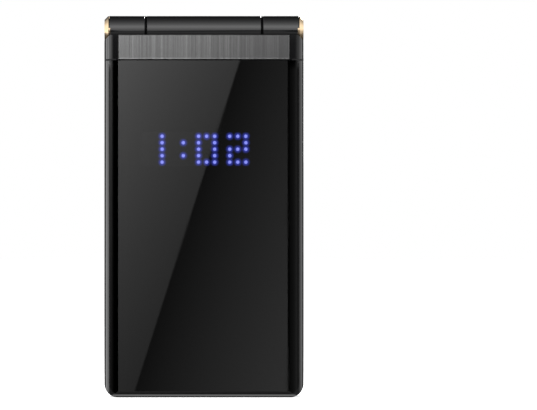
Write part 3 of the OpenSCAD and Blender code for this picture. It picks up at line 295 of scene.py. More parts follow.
glassLooks = {
    "outerTint": (0.05, 0.05, 0.054, 1),
    "coated": 0.22,             # the camera window is coated, so it mirrors less
    "border": (0.003, 0.003, 0.0035, 1),
    "picture": (0.022, 0.025, 0.028, 1),
    "viewWidth": 36.7,          # size and middle of the picture, mm
    "viewHeight": 49.0,
    "viewZ": 52.5,
    "roughness": 0.008,
}


def tintedGlass(name, tint):
    material, tree, surface = newMaterial(name, Base_Color=tint, Transmission_Weight=1.0, IOR=1.5)
    worn = effect(tree, "handling", Smear=0.02, Dust=0.3)
    plug(tree, surface["Roughness"], maths(tree, "ADD", worn["Roughness"], glassLooks["roughness"]))
    return material


def printedGlass(name, colour):
    # glass that is printed black on its back, so nothing shows through
    material, tree, surface = newMaterial(name, IOR=1.52, Specular_IOR_Level=glassLooks["coated"])
    worn = effect(tree, "handling", Smear=0.03, Dust=0.4)
    plug(tree, surface["Base Color"], blendColour(tree, worn["Specks"], colour, plasticLooks["dustColour"]))
    plug(tree, surface["Roughness"], maths(tree, "ADD", worn["Roughness"], glassLooks["roughness"]))
    return material


def displayFinish(name):
    # black-printed border round the unlit picture, which is a little lighter and softer
    material, tree, surface = newMaterial(name, IOR=1.5)
    parts = objectAxes(tree)
    inside = []
    for label, middleAt, span in (("X", 0.0, "viewWidth"), ("Z", glassLooks["viewZ"], "viewHeight")):
        away = maths(tree, "ABSOLUTE", maths(tree, "SUBTRACT", parts[label], middleAt * mm))
        inside.append(maths(tree, "LESS_THAN", away, glassLooks[span] / 2 * mm))
    mask = maths(tree, "MULTIPLY", *inside)
    worn = effect(tree, "handling", Smear=0.04, Dust=0.5)
    shade = blendColour(tree, mask, glassLooks["border"], glassLooks["picture"])
    plug(tree, surface["Base Color"], blendColour(tree, worn["Specks"], shade, plasticLooks["dustColour"]))
    plug(tree, surface["Roughness"], maths(tree, "ADD", worn["Roughness"], glassLooks["roughness"]))
    return material


# metals

metalLooks = {
    # painted shade: the strip's colour is lighter at its left end and darker at its right end
    "stripLeftPaintedLit": (0.262, 0.262, 0.263, 1),
    "stripRightPaintedShade": (0.128, 0.128, 0.129, 1),
    "stripEdgePaintedHighlight": 1.45,          # painted highlight: the sheet's lower edge is this much brighter
    "capGold": (0.54, 0.41, 0.265, 1),
    "capShade": (0.48, 0.36, 0.23, 1),
    "gold": (0.88, 0.69, 0.45, 1),
    "goldShade": (0.8, 0.61, 0.38, 1),
    "rimGold": (1.0, 0.88, 0.62, 1),
    "ringGold": (0.83, 0.64, 0.37, 1),
    "steel": (0.55, 0.55, 0.57, 1),
    "darkSteel": (0.12, 0.12, 0.125, 1),
}


def brushedMetal(name, colour, shade, roughness, across=9000, along=60, depth=0.004 * mm):
    material, tree, surface = newMaterial(name, Metallic=1.0, Anisotropic=0.6)
    lines = effect(tree, "brushing", Across=across, Along=along)
    plug(tree, surface["Base Color"], blendColour(tree, lines["Tone"], shade, colour))
    plug(tree, surface["Roughness"], maths(tree, "MULTIPLY_ADD", lines["Tone"], 0.16, roughness - 0.08))
    tangent = addNode(tree, "ShaderNodeTangent", direction_type="RADIAL", axis="Z")
    plug(tree, surface["Tangent"], tangent.outputs[0])
    bump(tree, surface, lines["Height"], depth, 0.5)
    return material


def stripMetal(name):
    # painted shade and highlight: the sheet's colour darkens from left to right and is brighter along its
    # lower edge; its brushing shows as streaks
    material, tree, surface = newMaterial(name, Metallic=1.0, Anisotropic=0.6)
    lines = effect(tree, "brushing", Across=8500, Along=25)
    low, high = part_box("brushed_strip")
    parts = objectAxes(tree)
    # painted shade: the colour goes from the lit left end to the darker right end
    share = addNode(tree, "ShaderNodeMapRange",
                    inputs={"Value": parts["X"], "From Min": low.x, "From Max": high.x})
    paintedFade = blendColour(tree, share.outputs[0], metalLooks["stripLeftPaintedLit"], metalLooks["stripRightPaintedShade"])
    # painted highlight: a brighter band along the sheet's lower edge
    edge = smoothStep(tree, parts["Z"], low.z + 0.55 * mm, low.z + 0.4 * mm)
    streak = maths(tree, "MULTIPLY_ADD", lines["Tone"], 1.8, 0.1)
    streak = maths(tree, "MULTIPLY", streak, blendValue(tree, edge, 1.0, metalLooks["stripEdgePaintedHighlight"]))
    grey = addNode(tree, "ShaderNodeCombineColor", inputs={0: streak, 1: streak, 2: streak}).outputs[0]
    streakedWithPaintedLight = addNode(tree, "ShaderNodeMix", data_type="RGBA", blend_type="MULTIPLY",
                       inputs={0: 1.0, 6: paintedFade, 7: grey})
    plug(tree, surface["Base Color"], streakedWithPaintedLight.outputs[2])
    plug(tree, surface["Roughness"], maths(tree, "MULTIPLY_ADD", lines["Tone"], 0.14, 0.15))
    tangent = addNode(tree, "ShaderNodeTangent", direction_type="RADIAL", axis="Z")
    plug(tree, surface["Tangent"], tangent.outputs[0])
    bump(tree, surface, lines["Height"], 0.003 * mm, 0.4)
    return material


def platedMetal(name, colour, shade, roughness, grainSize=0.25):
    material, tree, surface = newMaterial(name, Metallic=1.0)
    grain = effect(tree, "grain", Size=grainSize, Depth=1.0)
    worn = effect(tree, "handling", Smear=0.12, Dust=0.2)
    plug(tree, surface["Base Color"], blendColour(tree, grain["Tone"], shade, colour))
    plug(tree, surface["Roughness"], maths(tree, "ADD", worn["Roughness"], roughness))
    bump(tree, surface, grain["Height"], 0.003 * mm, 0.25)
    return material


# other finishes

def plainFinish(name, colour, roughness, grainSize, depth, **settings):
    material, tree, surface = newMaterial(name, **settings)
    grain = effect(tree, "grain", Size=grainSize, Depth=1.0)
    darker = tuple(0.7 * c for c in colour[:3]) + (1,)
    plug(tree, surface["Base Color"], blendColour(tree, grain["Tone"], darker, colour))
    plug(tree, surface["Roughness"], maths(tree, "MULTIPLY_ADD", grain["Tone"], 0.12, roughness - 0.06))
    bump(tree, surface, grain["Height"], depth, 0.5)
    return material


def boardFinish(name):
    # solder mask with the raised lines of its tracks
    material, tree, surface = newMaterial(name, Roughness=0.32, Coat_Weight=0.4)
    place = objectPlace(tree, (700, 700, 700))
    tracks = addNode(tree, "ShaderNodeTexBrick", offset=0.37, squash=0.6, squash_frequency=3,
                     inputs={"Vector": place, "Scale": 0.9, "Mortar Size": 0.06,
                             "Color1": (0.004, 0.05, 0.022, 1), "Color2": (0.006, 0.065, 0.028, 1),
                             "Mortar": (0.03, 0.14, 0.05, 1)})
    plug(tree, surface["Base Color"], tracks.outputs["Color"])
    bump(tree, surface, tracks.outputs["Fac"], 0.02 * mm)
    return material


def lampDiffuser(name):
    # clear moulded window of the flash, with the rings of its flat lens
    material, tree, surface = newMaterial(name, Roughness=0.14, IOR=1.49, Coat_Weight=0.6)
    low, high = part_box("flash_lamp")
    centre = (low + high) / 2
    parts = objectAxes(tree)
    offX = maths(tree, "SUBTRACT", parts["X"], centre.x)
    offZ = maths(tree, "SUBTRACT", parts["Z"], centre.z)
    away = maths(tree, "POWER", maths(tree, "ADD", maths(tree, "POWER", offX, 2.0),
                                      maths(tree, "POWER", offZ, 2.0)), 0.5)
    rings = maths(tree, "PINGPONG", maths(tree, "MULTIPLY", away, 4500), 0.5)
    core = smoothStep(tree, away, 0.9 * mm, 0.35 * mm)
    plug(tree, surface["Base Color"], blendColour(tree, core, (0.6, 0.57, 0.44, 1), (0.75, 0.66, 0.32, 1)))
    bump(tree, surface, rings, 0.05 * mm)
    return material


materials = {
    "gloss_black": glossPlastic("glossBlack", plasticLooks["glossColour"], plasticLooks["glossRoughness"]),
    "matte_black": softPlastic("softBlack", plasticLooks["softColour"], plasticLooks["softRoughness"],
                               plasticLooks["softGrain"]),
    "brushed_metal": stripMetal("brushedStripPaintedShade"),
    "gold_metal": platedMetal("polishedGold", metalLooks["gold"], metalLooks["goldShade"], 0.16),
    "ring_gold": platedMetal("satinGold", metalLooks["ringGold"], metalLooks["goldShade"], 0.3, 0.12),
    "blue_lamp": plainFinish("lampResin", (0.03, 0.03, 0.05, 1), 0.6, 0.3, 0.004 * mm,
                             Specular_IOR_Level=0.0),
    "circuit_board": boardFinish("solderMask"),
    "display_metal": brushedMetal("pressedSheet", metalLooks["steel"], (0.4, 0.4, 0.42, 1), 0.34, 3000, 200),
    "inner_metal": platedMetal("plainSteel", metalLooks["steel"], (0.4, 0.4, 0.42, 1), 0.28),
    "screw_steel": platedMetal("blackedSteel", metalLooks["darkSteel"], (0.07, 0.07, 0.075, 1), 0.34),
    "soft_rubber": plainFinish("siliconeRubber", (0.02, 0.02, 0.021, 1), 0.7, 0.12, 0.02 * mm),
    "flex_film": plainFinish("flexFilm", (0.35, 0.13, 0.02, 1), 0.22, 0.6, 0.006 * mm, Coat_Weight=0.5),
    "inner_plastic": softPlastic("innerPlastic", (0.02, 0.02, 0.021, 1), 0.5, 0.2),
    "lamp_lens": lampDiffuser("flashDiffuser"),
    "battery_wrap": plainFinish("batteryWrap", (0.05, 0.065, 0.1, 1), 0.35, 0.5, 0.01 * mm, Coat_Weight=0.3),
    "contact_gold": platedMetal("contactGold", metalLooks["gold"], metalLooks["goldShade"], 0.2),
    "key_black": glossPlastic("keyBlack", plasticLooks["keyColour"], 0.12, 0.12),
    "key_green": glossPlastic("callKeyBlack", plasticLooks["keyColour"], 0.12, 0.12),
    "key_red": glossPlastic("endKeyBlack", plasticLooks["keyColour"], 0.12, 0.12),
}
nodeFinish = {
    "base_rear_shell": rimPlastic("rearBlack"),
    "lid_outer_shell": lidPlastic("lidBlack"),
    "camera_frame": platedMetal("rimGold", metalLooks["rimGold"], metalLooks["gold"], 0.12),
    "end_caps": platedMetal("capGold", metalLooks["capGold"], metalLooks["capShade"], 0.2),
    "clock_board": plainFinish("darkBoard", (0.003, 0.003, 0.003, 1), 0.7, 0.2, 0.004 * mm,
                               Specular_IOR_Level=0.0),
    "outer_glass": tintedGlass("clockGlass", glassLooks["outerTint"]),
    "display_glass": displayFinish("displayLens"),
    "camera_glass": printedGlass("cameraWindow", (0.004, 0.004, 0.005, 1)),
}
for name, node in nodes.items():
    for holder in node.material_slots:
        holder.material = nodeFinish.get(name) or materials[holder.material.name.split(".")[0]]
print("CAD nodes dressed:", len(materials) + len(nodeFinish), "materials")


# pieces of this script's own

def inked(name, colour):
    # screen-printed ink: slightly uneven and half matt
    return plainFinish(name, colour, 0.42, 0.15, 0.004 * mm)


inks = {
    "white": inked("printWhite", (0.72, 0.72, 0.7, 1)),
    "green": inked("printGreen", (0.03, 0.42, 0.08, 1)),
    "red": inked("printRed", (0.6, 0.03, 0.03, 1)),
    "dark": inked("printDark", (0.02, 0.018, 0.015, 1)),
}


def finishPiece(name, mesh, body, material):
    # the mesh already has its place in it
    piece = bpy.data.objects.new(name, mesh)
    bpy.context.scene.collection.objects.link(piece)
    if not mesh.materials:
        mesh.materials.append(material)
    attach(piece, body)
    return piece


def meshOf(thing):
    # evaluates an object with its modifiers, or a text, and returns a plain mesh of its own
    evaluated = thing.evaluated_get(bpy.context.evaluated_depsgraph_get())
    mesh = bpy.data.meshes.new_from_object(evaluated)
    data = thing.data
    bpy.data.objects.remove(thing)
    if data.users == 0 and isinstance(data, bpy.types.Mesh):
        bpy.data.meshes.remove(data)
    return mesh


# geometry-node trees for what repeats

def newGeometryTree(name, inputs):
    tree = bpy.data.node_groups.new(name, "GeometryNodeTree")
    tree.interface.new_socket("Geometry", in_out="INPUT", socket_type="NodeSocketGeometry")
    for label, kind, start in inputs:
        socket = tree.interface.new_socket(label, in_out="INPUT", socket_type="NodeSocket" + kind)
        socket.default_value = start
    tree.interface.new_socket("Geometry", in_out="OUTPUT", socket_type="NodeSocketGeometry")
    return tree, tree.nodes.new("NodeGroupInput").outputs, tree.nodes.new("NodeGroupOutput").inputs


def closeTree(tree, out, instances, material):
    real = addNode(tree, "GeometryNodeRealizeInstances", inputs={0: instances})
    painted = addNode(tree, "GeometryNodeSetMaterial",
                      inputs={"Geometry": real.outputs[0], "Material": material})
    plug(tree, out["Geometry"], painted.outputs[0])


def runTree(name, tree, values, points=()):
    mesh = bpy.data.meshes.new(name)
    mesh.from_pydata([tuple(p) for p in points], [], [])
    carrier = bpy.data.objects.new(name, mesh)
    bpy.context.scene.collection.objects.link(carrier)
    modifier = carrier.modifiers.new("build", "NODES")
    modifier.node_group = tree
    for item in tree.interface.items_tree:
        if item.in_out == "INPUT" and item.name in values:
            modifier[item.identifier] = values[item.name]
    bpy.context.view_layer.update()
    return meshOf(carrier)


# clock: a thin film over the lamps that glows by its distance from the lit ones

clock = {
    "digits": {-14.27: "1", 0.75: "0", 9.65: "2"},   # middle of each digit, mm
    "pitchX": 2.3,
    "pitchZ": 1.85,
    "middleZ": 70.9,
    "colonX": -5.9,
    "filmX": 31.0,
    "filmZ": 9.6,
    "filmMiddleX": -2.3,
    "cell": 0.155,              # fineness of the film's mesh
    "gap": 0.06,                # from the lamps to the film
    # glow by distance from a lamp's middle, mm
    "glow": [(0.0, 1.0), (0.40, 1.0), (0.46, 0.8), (0.57, 0.29), (0.70, 0.22), (0.86, 0.17), (1.1, 0.05),
             (1.3, 0.0)],
    "coreFrom": 0.57,           # the colour turns from halo to core between these two
    "coreTo": 0.4,
    "coreColour": (0.30, 0.34, 1.0, 1),
    "haloColour": (0.09, 0.13, 1.0, 1),
    "strength": 19.0,
}
digitRows = {
    "0": ["111", "101", "101", "101", "111"],
    "1": ["001", "001", "001", "001", "001"],
    "2": ["111", "001", "111", "100", "111"],
}


def litPlaces():
    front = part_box("clock_lamps")[0].y / mm - clock["gap"]
    places = []
    for middleX, digit in clock["digits"].items():
        for row, pattern in enumerate(digitRows[digit]):
            for column, lit in enumerate(pattern):
                if lit == "1":
                    places.append((middleX + (column - 1) * clock["pitchX"], front,
                                   clock["middleZ"] + (2 - row) * clock["pitchZ"]))
    for side in (-1, 1):
        places.append((clock["colonX"], front, clock["middleZ"] + side * clock["pitchZ"]))
    return [Vector(p) * mm for p in places]


def filmMaterial():
    material, tree, surface = newMaterial("clockFilm", Base_Color=(0.001, 0.001, 0.001, 1), Roughness=0.7,
                                          Specular_IOR_Level=0.0)
    away = addNode(tree, "ShaderNodeAttribute", attribute_name="lampAway").outputs["Fac"]
    reach = clock["glow"][-1][0]
    share = maths(tree, "DIVIDE", away, reach * mm)
    level = ramp(tree, share, [(place / reach, value) for place, value in clock["glow"]])
    core = smoothStep(tree, away, clock["coreFrom"] * mm, clock["coreTo"] * mm)
    tinted = blendColour(tree, core, clock["haloColour"], clock["coreColour"])
    shown = addNode(tree, "ShaderNodeMix", data_type="RGBA", blend_type="MULTIPLY",
                    inputs={0: 1.0, 6: tinted, 7: level})
    plug(tree, surface["Emission Color"], shown.outputs[2])
    surface["Emission Strength"].default_value = clock["strength"]
    return material


def makeFilm():
    tree, given, out = newGeometryTree("clockFilm", [
        ("Width", "Float", 0.03), ("Height", "Float", 0.01), ("Columns", "Int", 60), ("Rows", "Int", 20),
        ("Middle", "Vector", (0, 0, 0))])
    sheet = addNode(tree, "GeometryNodeMeshGrid", inputs={
        "Size X": given["Width"], "Size Y": given["Height"],
        "Vertices X": given["Columns"], "Vertices Y": given["Rows"]})
    upright = addNode(tree, "GeometryNodeTransform", inputs={
        "Geometry": sheet.outputs[0], "Translation": given["Middle"], "Rotation": (math.pi / 2, 0, 0)})
    nearest = addNode(tree, "GeometryNodeProximity", target_element="POINTS",
                      inputs={"Geometry": given["Geometry"]})
    marked = addNode(tree, "GeometryNodeStoreNamedAttribute", data_type="FLOAT", domain="POINT", inputs={
        "Geometry": upright.outputs[0], "Name": "lampAway", "Value": nearest.outputs["Distance"]})
    closeTree(tree, out, marked.outputs[0], filmMaterial())
    places = litPlaces()
    filmMiddle = Vector((clock["filmMiddleX"] * mm, places[0].y, clock["middleZ"] * mm))
    mesh = runTree("clock_film", tree, {
        "Width": clock["filmX"] * mm, "Height": clock["filmZ"] * mm,
        "Columns": round(clock["filmX"] / clock["cell"]), "Rows": round(clock["filmZ"] / clock["cell"]),
        "Middle": tuple(filmMiddle)}, places)
    finishPiece("clock_film", mesh, "lid", None)


makeFilm()
print("clock film made")


# legends: ink laid on the crowned keys

legends = {
    "proud": 0.02,              # ink over the key, mm
    "slice": 0.5,               # the ink is cut this fine to follow the crown
    "digit": 5.4,
    "digitWeight": 0.012,
    "letters": 2.75,
    "lettersWeight": 0.008,
    "ok": 3.4,
    "digitAcross": -3.7,
    "lettersAcross": 2.7,
    "barWide": 3.6,
    "barHigh": 0.55,
    "arrowAway": 8.2,
    "arrow": 1.5,
    "handset": 2.7,
    "handsetFrom": 205,         # the handset's arc, degrees
    "handsetSweep": 130,
    "handsetEnds": 0.62,        # how far out its thick ends start, and how thick they are
    "handsetGrip": 0.3,
    "handsetLift": 0.55,        # from the arc's centre to the mark's middle
    "handsetSteps": 24,
}
keyWords = {
    "key_1": ("1", ""), "key_2": ("2", "ABC"), "key_3": ("3", "DEF"), "key_4": ("4", "GHI"),
    "key_5": ("5", "JKL"), "key_6": ("6", "MNO"), "key_7": ("7", "PQRS"), "key_8": ("8", "TUV"),
    "key_9": ("9", "WXYZ"), "key_star": ("*", ""), "key_0": ("0", "+"), "key_hash": ("#", ""),
}


def inkWords(work, words, size, across, up, weight):
    # adds the words to the bmesh, upright in XZ and centred on the place given in mm
    curve = bpy.data.curves.new("words", "FONT")
    curve.body = words
    curve.resolution_u = 5
    curve.offset = weight
    holder = bpy.data.objects.new("words", curve)
    bpy.context.scene.collection.objects.link(holder)
    mesh = meshOf(holder)
    xs = [v.co.x for v in mesh.vertices]
    ys = [v.co.y for v in mesh.vertices]
    middleX, middleY = (min(xs) + max(xs)) / 2, (min(ys) + max(ys)) / 2
    scale = Matrix.Diagonal((size * mm, size * mm, size * mm, 1))
    upright = Matrix.Rotation(math.pi / 2, 4, "X") @ scale @ Matrix.Translation((-middleX, -middleY, 0))
    mesh.transform(Matrix.Translation((across * mm, 0, up * mm)) @ upright)
    work.from_mesh(mesh)
    bpy.data.meshes.remove(mesh)


def inkShape(work, outline, across, up, turn=0.0):
    # outline in mm, given anticlockwise as seen from the front
    spin = Matrix.Rotation(turn, 2)
    corners = []
    for point in outline:
        x, z = spin @ Vector(point)
        corners.append(work.verts.new(((across + x) * mm, 0, (up + z) * mm)))
    work.faces.new(corners)


def layOnKey(name, work, body, ink):
    # cuts the ink into slices and sets every point just over the key's own face
    bmesh.ops.triangulate(work, faces=work.faces[:])
    heights = [v.co.z for v in work.verts]
    level = min(heights) + legends["slice"] * mm / 2
    while level < max(heights):
        bmesh.ops.bisect_plane(work, geom=work.verts[:] + work.edges[:] + work.faces[:],
                               plane_co=(0, 0, level), plane_no=(0, 0, 1))
        level += legends["slice"] * mm
    key = nodes[body]
    surface = BVHTree.FromPolygons([key.matrix_world @ v.co for v in key.data.vertices],
                                   [tuple(p.vertices) for p in key.data.polygons])
    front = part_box(body)[0].y
    for vertex in work.verts:
        hit = surface.ray_cast(Vector((vertex.co.x, front - mm, vertex.co.z)), Vector((0, 1, 0)))[0]
        vertex.co.y = (hit.y if hit else front) - legends["proud"] * mm
    bmesh.ops.recalc_face_normals(work, faces=work.faces[:])
    for face in work.faces:
        if face.normal.y > 0:
            face.normal_flip()
    mesh = bpy.data.meshes.new(name)
    work.to_mesh(mesh)
    work.free()
    finishPiece(name, mesh, body, ink)


def handsetOutline(size):
    # a handset: a band bent round an arc, thick at both ends
    outer, inner = [], []
    lift = size * legends["handsetLift"]
    for step in range(legends["handsetSteps"] + 1):
        share = step / legends["handsetSteps"]
        angle = math.radians(legends["handsetFrom"] + legends["handsetSweep"] * share)
        atEnd = abs(2 * share - 1) > legends["handsetEnds"]
        thick = size * (legends["handsetEnds"] if atEnd else legends["handsetGrip"])
        outer.append((size * math.cos(angle), size * math.sin(angle) + lift))
        inner.append(((size - thick) * math.cos(angle), (size - thick) * math.sin(angle) + lift))
    return outer + inner[::-1]


def keyMiddle(name):
    low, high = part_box(name)
    return (low.x + high.x) / 2 / mm, (low.z + high.z) / 2 / mm


def barOutline(wide, high):
    return [(-wide / 2, -high / 2), (wide / 2, -high / 2), (wide / 2, high / 2), (-wide / 2, high / 2)]


def makeLegends():
    for body, (digit, letters) in keyWords.items():
        middleX, middleZ = keyMiddle(body)
        work = bmesh.new()
        digitX = middleX + (legends["digitAcross"] if letters else 0)
        inkWords(work, digit, legends["digit"], digitX, middleZ, legends["digitWeight"])
        if letters:
            lettersX = middleX + legends["lettersAcross"]
            inkWords(work, letters, legends["letters"], lettersX, middleZ, legends["lettersWeight"])
        layOnKey("legend_" + body, work, body, inks["white"])
    marks = [("call_key", 0.9, "green"), ("end_key", math.pi, "red"), ("soft_key_left", None, "white"),
             ("soft_key_right", None, "white")]
    for body, turn, ink in marks:
        middleX, middleZ = keyMiddle(body)
        work = bmesh.new()
        if turn is None:
            inkShape(work, barOutline(legends["barWide"], legends["barHigh"]), middleX, middleZ)
        else:
            inkShape(work, handsetOutline(legends["handset"]), middleX, middleZ, turn)
        layOnKey("mark_" + body, work, body, inks[ink])
    middleZ = keyMiddle("nav_ring")[1]
    work = bmesh.new()
    for quarter in range(4):
        turn = quarter * math.pi / 2
        away = Matrix.Rotation(turn, 2) @ Vector((0, legends["arrowAway"]))
        half = legends["arrow"] / 2
        outline = [(-half, -half * 0.7), (half, -half * 0.7), (0, half * 0.8)]
        inkShape(work, outline, away.x, middleZ + away.y, turn)
    layOnKey("mark_nav_ring", work, "nav_ring", inks["dark"])
    work = bmesh.new()
    inkWords(work, "OK", legends["ok"], 0, middleZ, legends["digitWeight"])
    layOnKey("legend_ok_key", work, "ok_key", inks["white"])


makeLegends()
print("legends laid on the keys")


# camera lens: turned parts in the recess of the camera's barrel

lens = {
    "across": -14.93,
    "up": 93.55,
    "floor": 9.25,
    # radius and height over the recess floor, mm, from the middle outwards
    "ring": [(1.12, 0.02), (1.12, 0.3), (1.2, 0.36), (1.44, 0.36), (1.54, 0.3), (1.58, 0.02)],
    "iris": [(0.0, 0.015), (0.92, 0.02), (0.96, 0.1), (1.1, 0.24), (1.11, 0.04)],
    "glass": [(0.0, 0.36), (0.15, 0.352), (0.3, 0.326), (0.45, 0.283), (0.6, 0.219), (0.75, 0.133),
              (0.9, 0.03)],
    "steps": 64,
}
lensFinishes = {
    "ring": {"Base_Color": (0.012, 0.012, 0.013, 1), "Roughness": 0.25, "IOR": 1.5},
    "iris": {"Base_Color": (0.02, 0.02, 0.022, 1), "Roughness": 0.45, "IOR": 1.5},
    "glass": {"Base_Color": (0.72, 0.7, 0.8, 1), "Transmission_Weight": 1.0, "IOR": 1.6, "Roughness": 0.02,
              "Coat_Weight": 1.0, "Coat_IOR": 1.8},
}


def turned(name, profile, material):
    # a turned part round the lens axis, facing the rear
    work = bmesh.new()
    rings = []
    for radius, height in profile:
        ring = []
        for step in range(lens["steps"] if radius else 1):
            angle = 2 * math.pi * step / lens["steps"]
            ring.append(work.verts.new(((lens["across"] + radius * math.cos(angle)) * mm,
                                        (lens["floor"] + height) * mm,
                                        (lens["up"] + radius * math.sin(angle)) * mm)))
        rings.append(ring)
    for a, b in zip(rings, rings[1:]):
        for step in range(lens["steps"]):
            after = (step + 1) % lens["steps"]
            if len(a) == 1:
                work.faces.new((a[0], b[after], b[step]))
            else:
                work.faces.new((a[step], a[after], b[after], b[step]))
    for face in work.faces:
        face.smooth = True
    mesh = bpy.data.meshes.new(name)
    work.to_mesh(mesh)
    work.free()
    finishPiece(name, mesh, "base", material)


for part, settings in lensFinishes.items():
    finish = newMaterial("lens" + part.capitalize(), **settings)[0]
    turned("lens_" + part, lens[part], finish)
print("camera lens made")


# grille: diamond-woven gold cloth behind the speaker slots

grille = {
    "pitch": 0.74,
    "bar": 0.066,               # radius of a wire, mm
}


def makeGrille():
    low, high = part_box("speaker_mesh")
    size, centre = high - low, (low + high) / 2
    tree, given, out = newGeometryTree("grilleCloth", [
        ("Columns", "Int", 10), ("Rows", "Int", 10), ("Pitch", "Float", 0.001), ("Bar", "Float", 0.0001)])
    sizeX = maths(tree, "MULTIPLY", maths(tree, "SUBTRACT", given["Columns"], 1), given["Pitch"])
    sizeY = maths(tree, "MULTIPLY", maths(tree, "SUBTRACT", given["Rows"], 1), given["Pitch"])
    points = addNode(tree, "GeometryNodeMeshGrid", inputs={
        "Size X": sizeX, "Size Y": sizeY, "Vertices X": given["Columns"], "Vertices Y": given["Rows"]})
    ring = addNode(tree, "GeometryNodeCurvePrimitiveCircle", mode="RADIUS", inputs={
        "Resolution": 4, "Radius": maths(tree, "MULTIPLY", given["Pitch"], 0.5)})
    wire = addNode(tree, "GeometryNodeCurvePrimitiveCircle", mode="RADIUS", inputs={
        "Resolution": 6, "Radius": given["Bar"]})
    link = addNode(tree, "GeometryNodeCurveToMesh", inputs={"Curve": ring.outputs[0],
                                                           "Profile Curve": wire.outputs[0]})
    placed = addNode(tree, "GeometryNodeInstanceOnPoints",
                     inputs={"Points": points.outputs[0], "Instance": link.outputs[0]})
    closeTree(tree, out, placed.outputs[0], materials["gold_metal"])
    pitch = grille["pitch"] * mm
    mesh = runTree("speaker_cloth", tree, {"Columns": int(size.x / pitch), "Rows": int(size.z / pitch),
                                           "Pitch": pitch, "Bar": grille["bar"] * mm})
    mesh.transform(Matrix.Translation(centre) @ Matrix.Rotation(math.pi / 2, 4, "X"))
    piece = finishPiece("speaker_cloth", mesh, "base", None)
    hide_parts("speaker_mesh")


makeGrille()
print("speaker cloth made")


# black rings that reflect nothing fill the gaps between the barrel's knuckles, round the bosses, as painted
# shade in the gaps

gapShadeRing = {
    "across": 16.65,            # middle of each gap, mm
    "hingeY": -2.15,
    "hingeZ": 105.0,
    "radius": 4.07,             # middle of the ring's section
    "deep": 0.22,
    "wide": 0.27,
    "steps": 96,
}


def makeGapShadeRings():
    tree, given, out = newGeometryTree("dustRings", [
        ("Radius", "Float", 0.004), ("Deep", "Float", 0.0002), ("Wide", "Float", 0.0002),
        ("Steps", "Int", 64)])
    circle = addNode(tree, "GeometryNodeCurvePrimitiveCircle", mode="RADIUS", inputs={
        "Resolution": given["Steps"], "Radius": given["Radius"]})
    square = addNode(tree, "GeometryNodeCurvePrimitiveQuadrilateral", inputs={
        "Width": given["Deep"], "Height": given["Wide"]})
    ring = addNode(tree, "GeometryNodeCurveToMesh", inputs={"Curve": circle.outputs[0],
                                                           "Profile Curve": square.outputs[0]})
    upright = addNode(tree, "GeometryNodeTransform", inputs={
        "Geometry": ring.outputs[0], "Rotation": (0, math.pi / 2, 0)})
    placed = addNode(tree, "GeometryNodeInstanceOnPoints",
                     inputs={"Points": given["Geometry"], "Instance": upright.outputs[0]})
    # painted shade: a black finish that mirrors nothing, so the gaps read as shadow
    closeTree(tree, out, placed.outputs[0], nodeFinish["clock_board"])
    hinge = Vector((0, gapShadeRing["hingeY"], gapShadeRing["hingeZ"]))
    places = [(hinge + Vector((side * gapShadeRing["across"], 0, 0))) * mm for side in (-1, 1)]
    mesh = runTree("dust_rings", tree, {
        "Radius": gapShadeRing["radius"] * mm, "Deep": gapShadeRing["deep"] * mm, "Wide": gapShadeRing["wide"] * mm,
        "Steps": gapShadeRing["steps"]}, places)
    finishPiece("dust_rings", mesh, "base", None)


makeGapShadeRings()
print("dust rings made")


# camera, at the photograph's straight-on angle; the shift only frames

view = {
    "distance": 1.6,
    "widthAtFront": 0.15327,    # what the picture's width spans at the lid's face
    "sideShift": 0.1201,        # the phone stands in the left part of the picture
    "centreHeight": 0.05496,
}
cameraData = bpy.data.cameras.new("camera")
camera = bpy.data.objects.new("camera", cameraData)
bpy.context.scene.collection.objects.link(camera)
bpy.context.scene.camera = camera
cameraData.sensor_width = 36
cameraData.lens = cameraData.sensor_width * view["distance"] / view["widthAtFront"]
cameraData.clip_end = 50
cameraData.shift_x = view["sideShift"]
camera.location = (0, cadLow.y - view["distance"], view["centreHeight"])
camera.rotation_euler = (math.pi / 2, 0, 0)


# floor and surroundings

def stagePiece(name, mesh, material):
    piece = bpy.data.objects.new(name, mesh)
    bpy.context.scene.collection.objects.link(piece)
    mesh.materials.append(material)
    return piece


def flatMesh(name, corners):
    mesh = bpy.data.meshes.new(name)
    mesh.from_pydata(corners, [], [tuple(range(len(corners)))])
    return mesh


surroundings = {
    "floorHalf": 4.0,
    "floorColour": (0.9, 0.9, 0.9, 1),
    "floorShare": 0.63,        # how much of the floor's white a shadow can't take away
    "worldLevel": 0.42,
}


def seenDirectly(tree):
    light = addNode(tree, "ShaderNodeLightPath").outputs
    seen = maths(tree, "MAXIMUM", light["Is Camera Ray"], light["Is Glossy Ray"])
    return maths(tree, "MAXIMUM", seen, light["Is Transmission Ray"])


def makeFloor():
    material, tree = emptyMaterial("floorPaper")
    paper = addNode(tree, "ShaderNodeBsdfDiffuse", inputs={"Color": surroundings["floorColour"]})
    share = maths(tree, "MULTIPLY", seenDirectly(tree), surroundings["floorShare"])
    glow = addNode(tree, "ShaderNodeEmission", inputs={"Strength": share})
    both = addNode(tree, "ShaderNodeAddShader", inputs={0: paper.outputs[0], 1: glow.outputs[0]})
    addNode(tree, "ShaderNodeOutputMaterial", inputs={"Surface": both.outputs[0]})
    half = surroundings["floorHalf"]
    low = cadLow.z - 0.00002
    corners = [(-half, -half, low), (half, -half, low), (half, half, low), (-half, half, low)]
    piece = stagePiece("floor", flatMesh("floor", corners), material)
    piece.visible_glossy = False


def makeWorld():
    world = bpy.data.worlds.new("studio")
    bpy.context.scene.world = world
    world.use_nodes = True
    tree = world.node_tree
    tree.nodes.clear()
    level = blendValue(tree, seenDirectly(tree), surroundings["worldLevel"], 1.0)
    sky = addNode(tree, "ShaderNodeBackground", inputs={"Color": (1, 1, 1, 1), "Strength": level})
    addNode(tree, "ShaderNodeOutputWorld", inputs={"Surface": sky.outputs[0]})


makeFloor()
makeWorld()


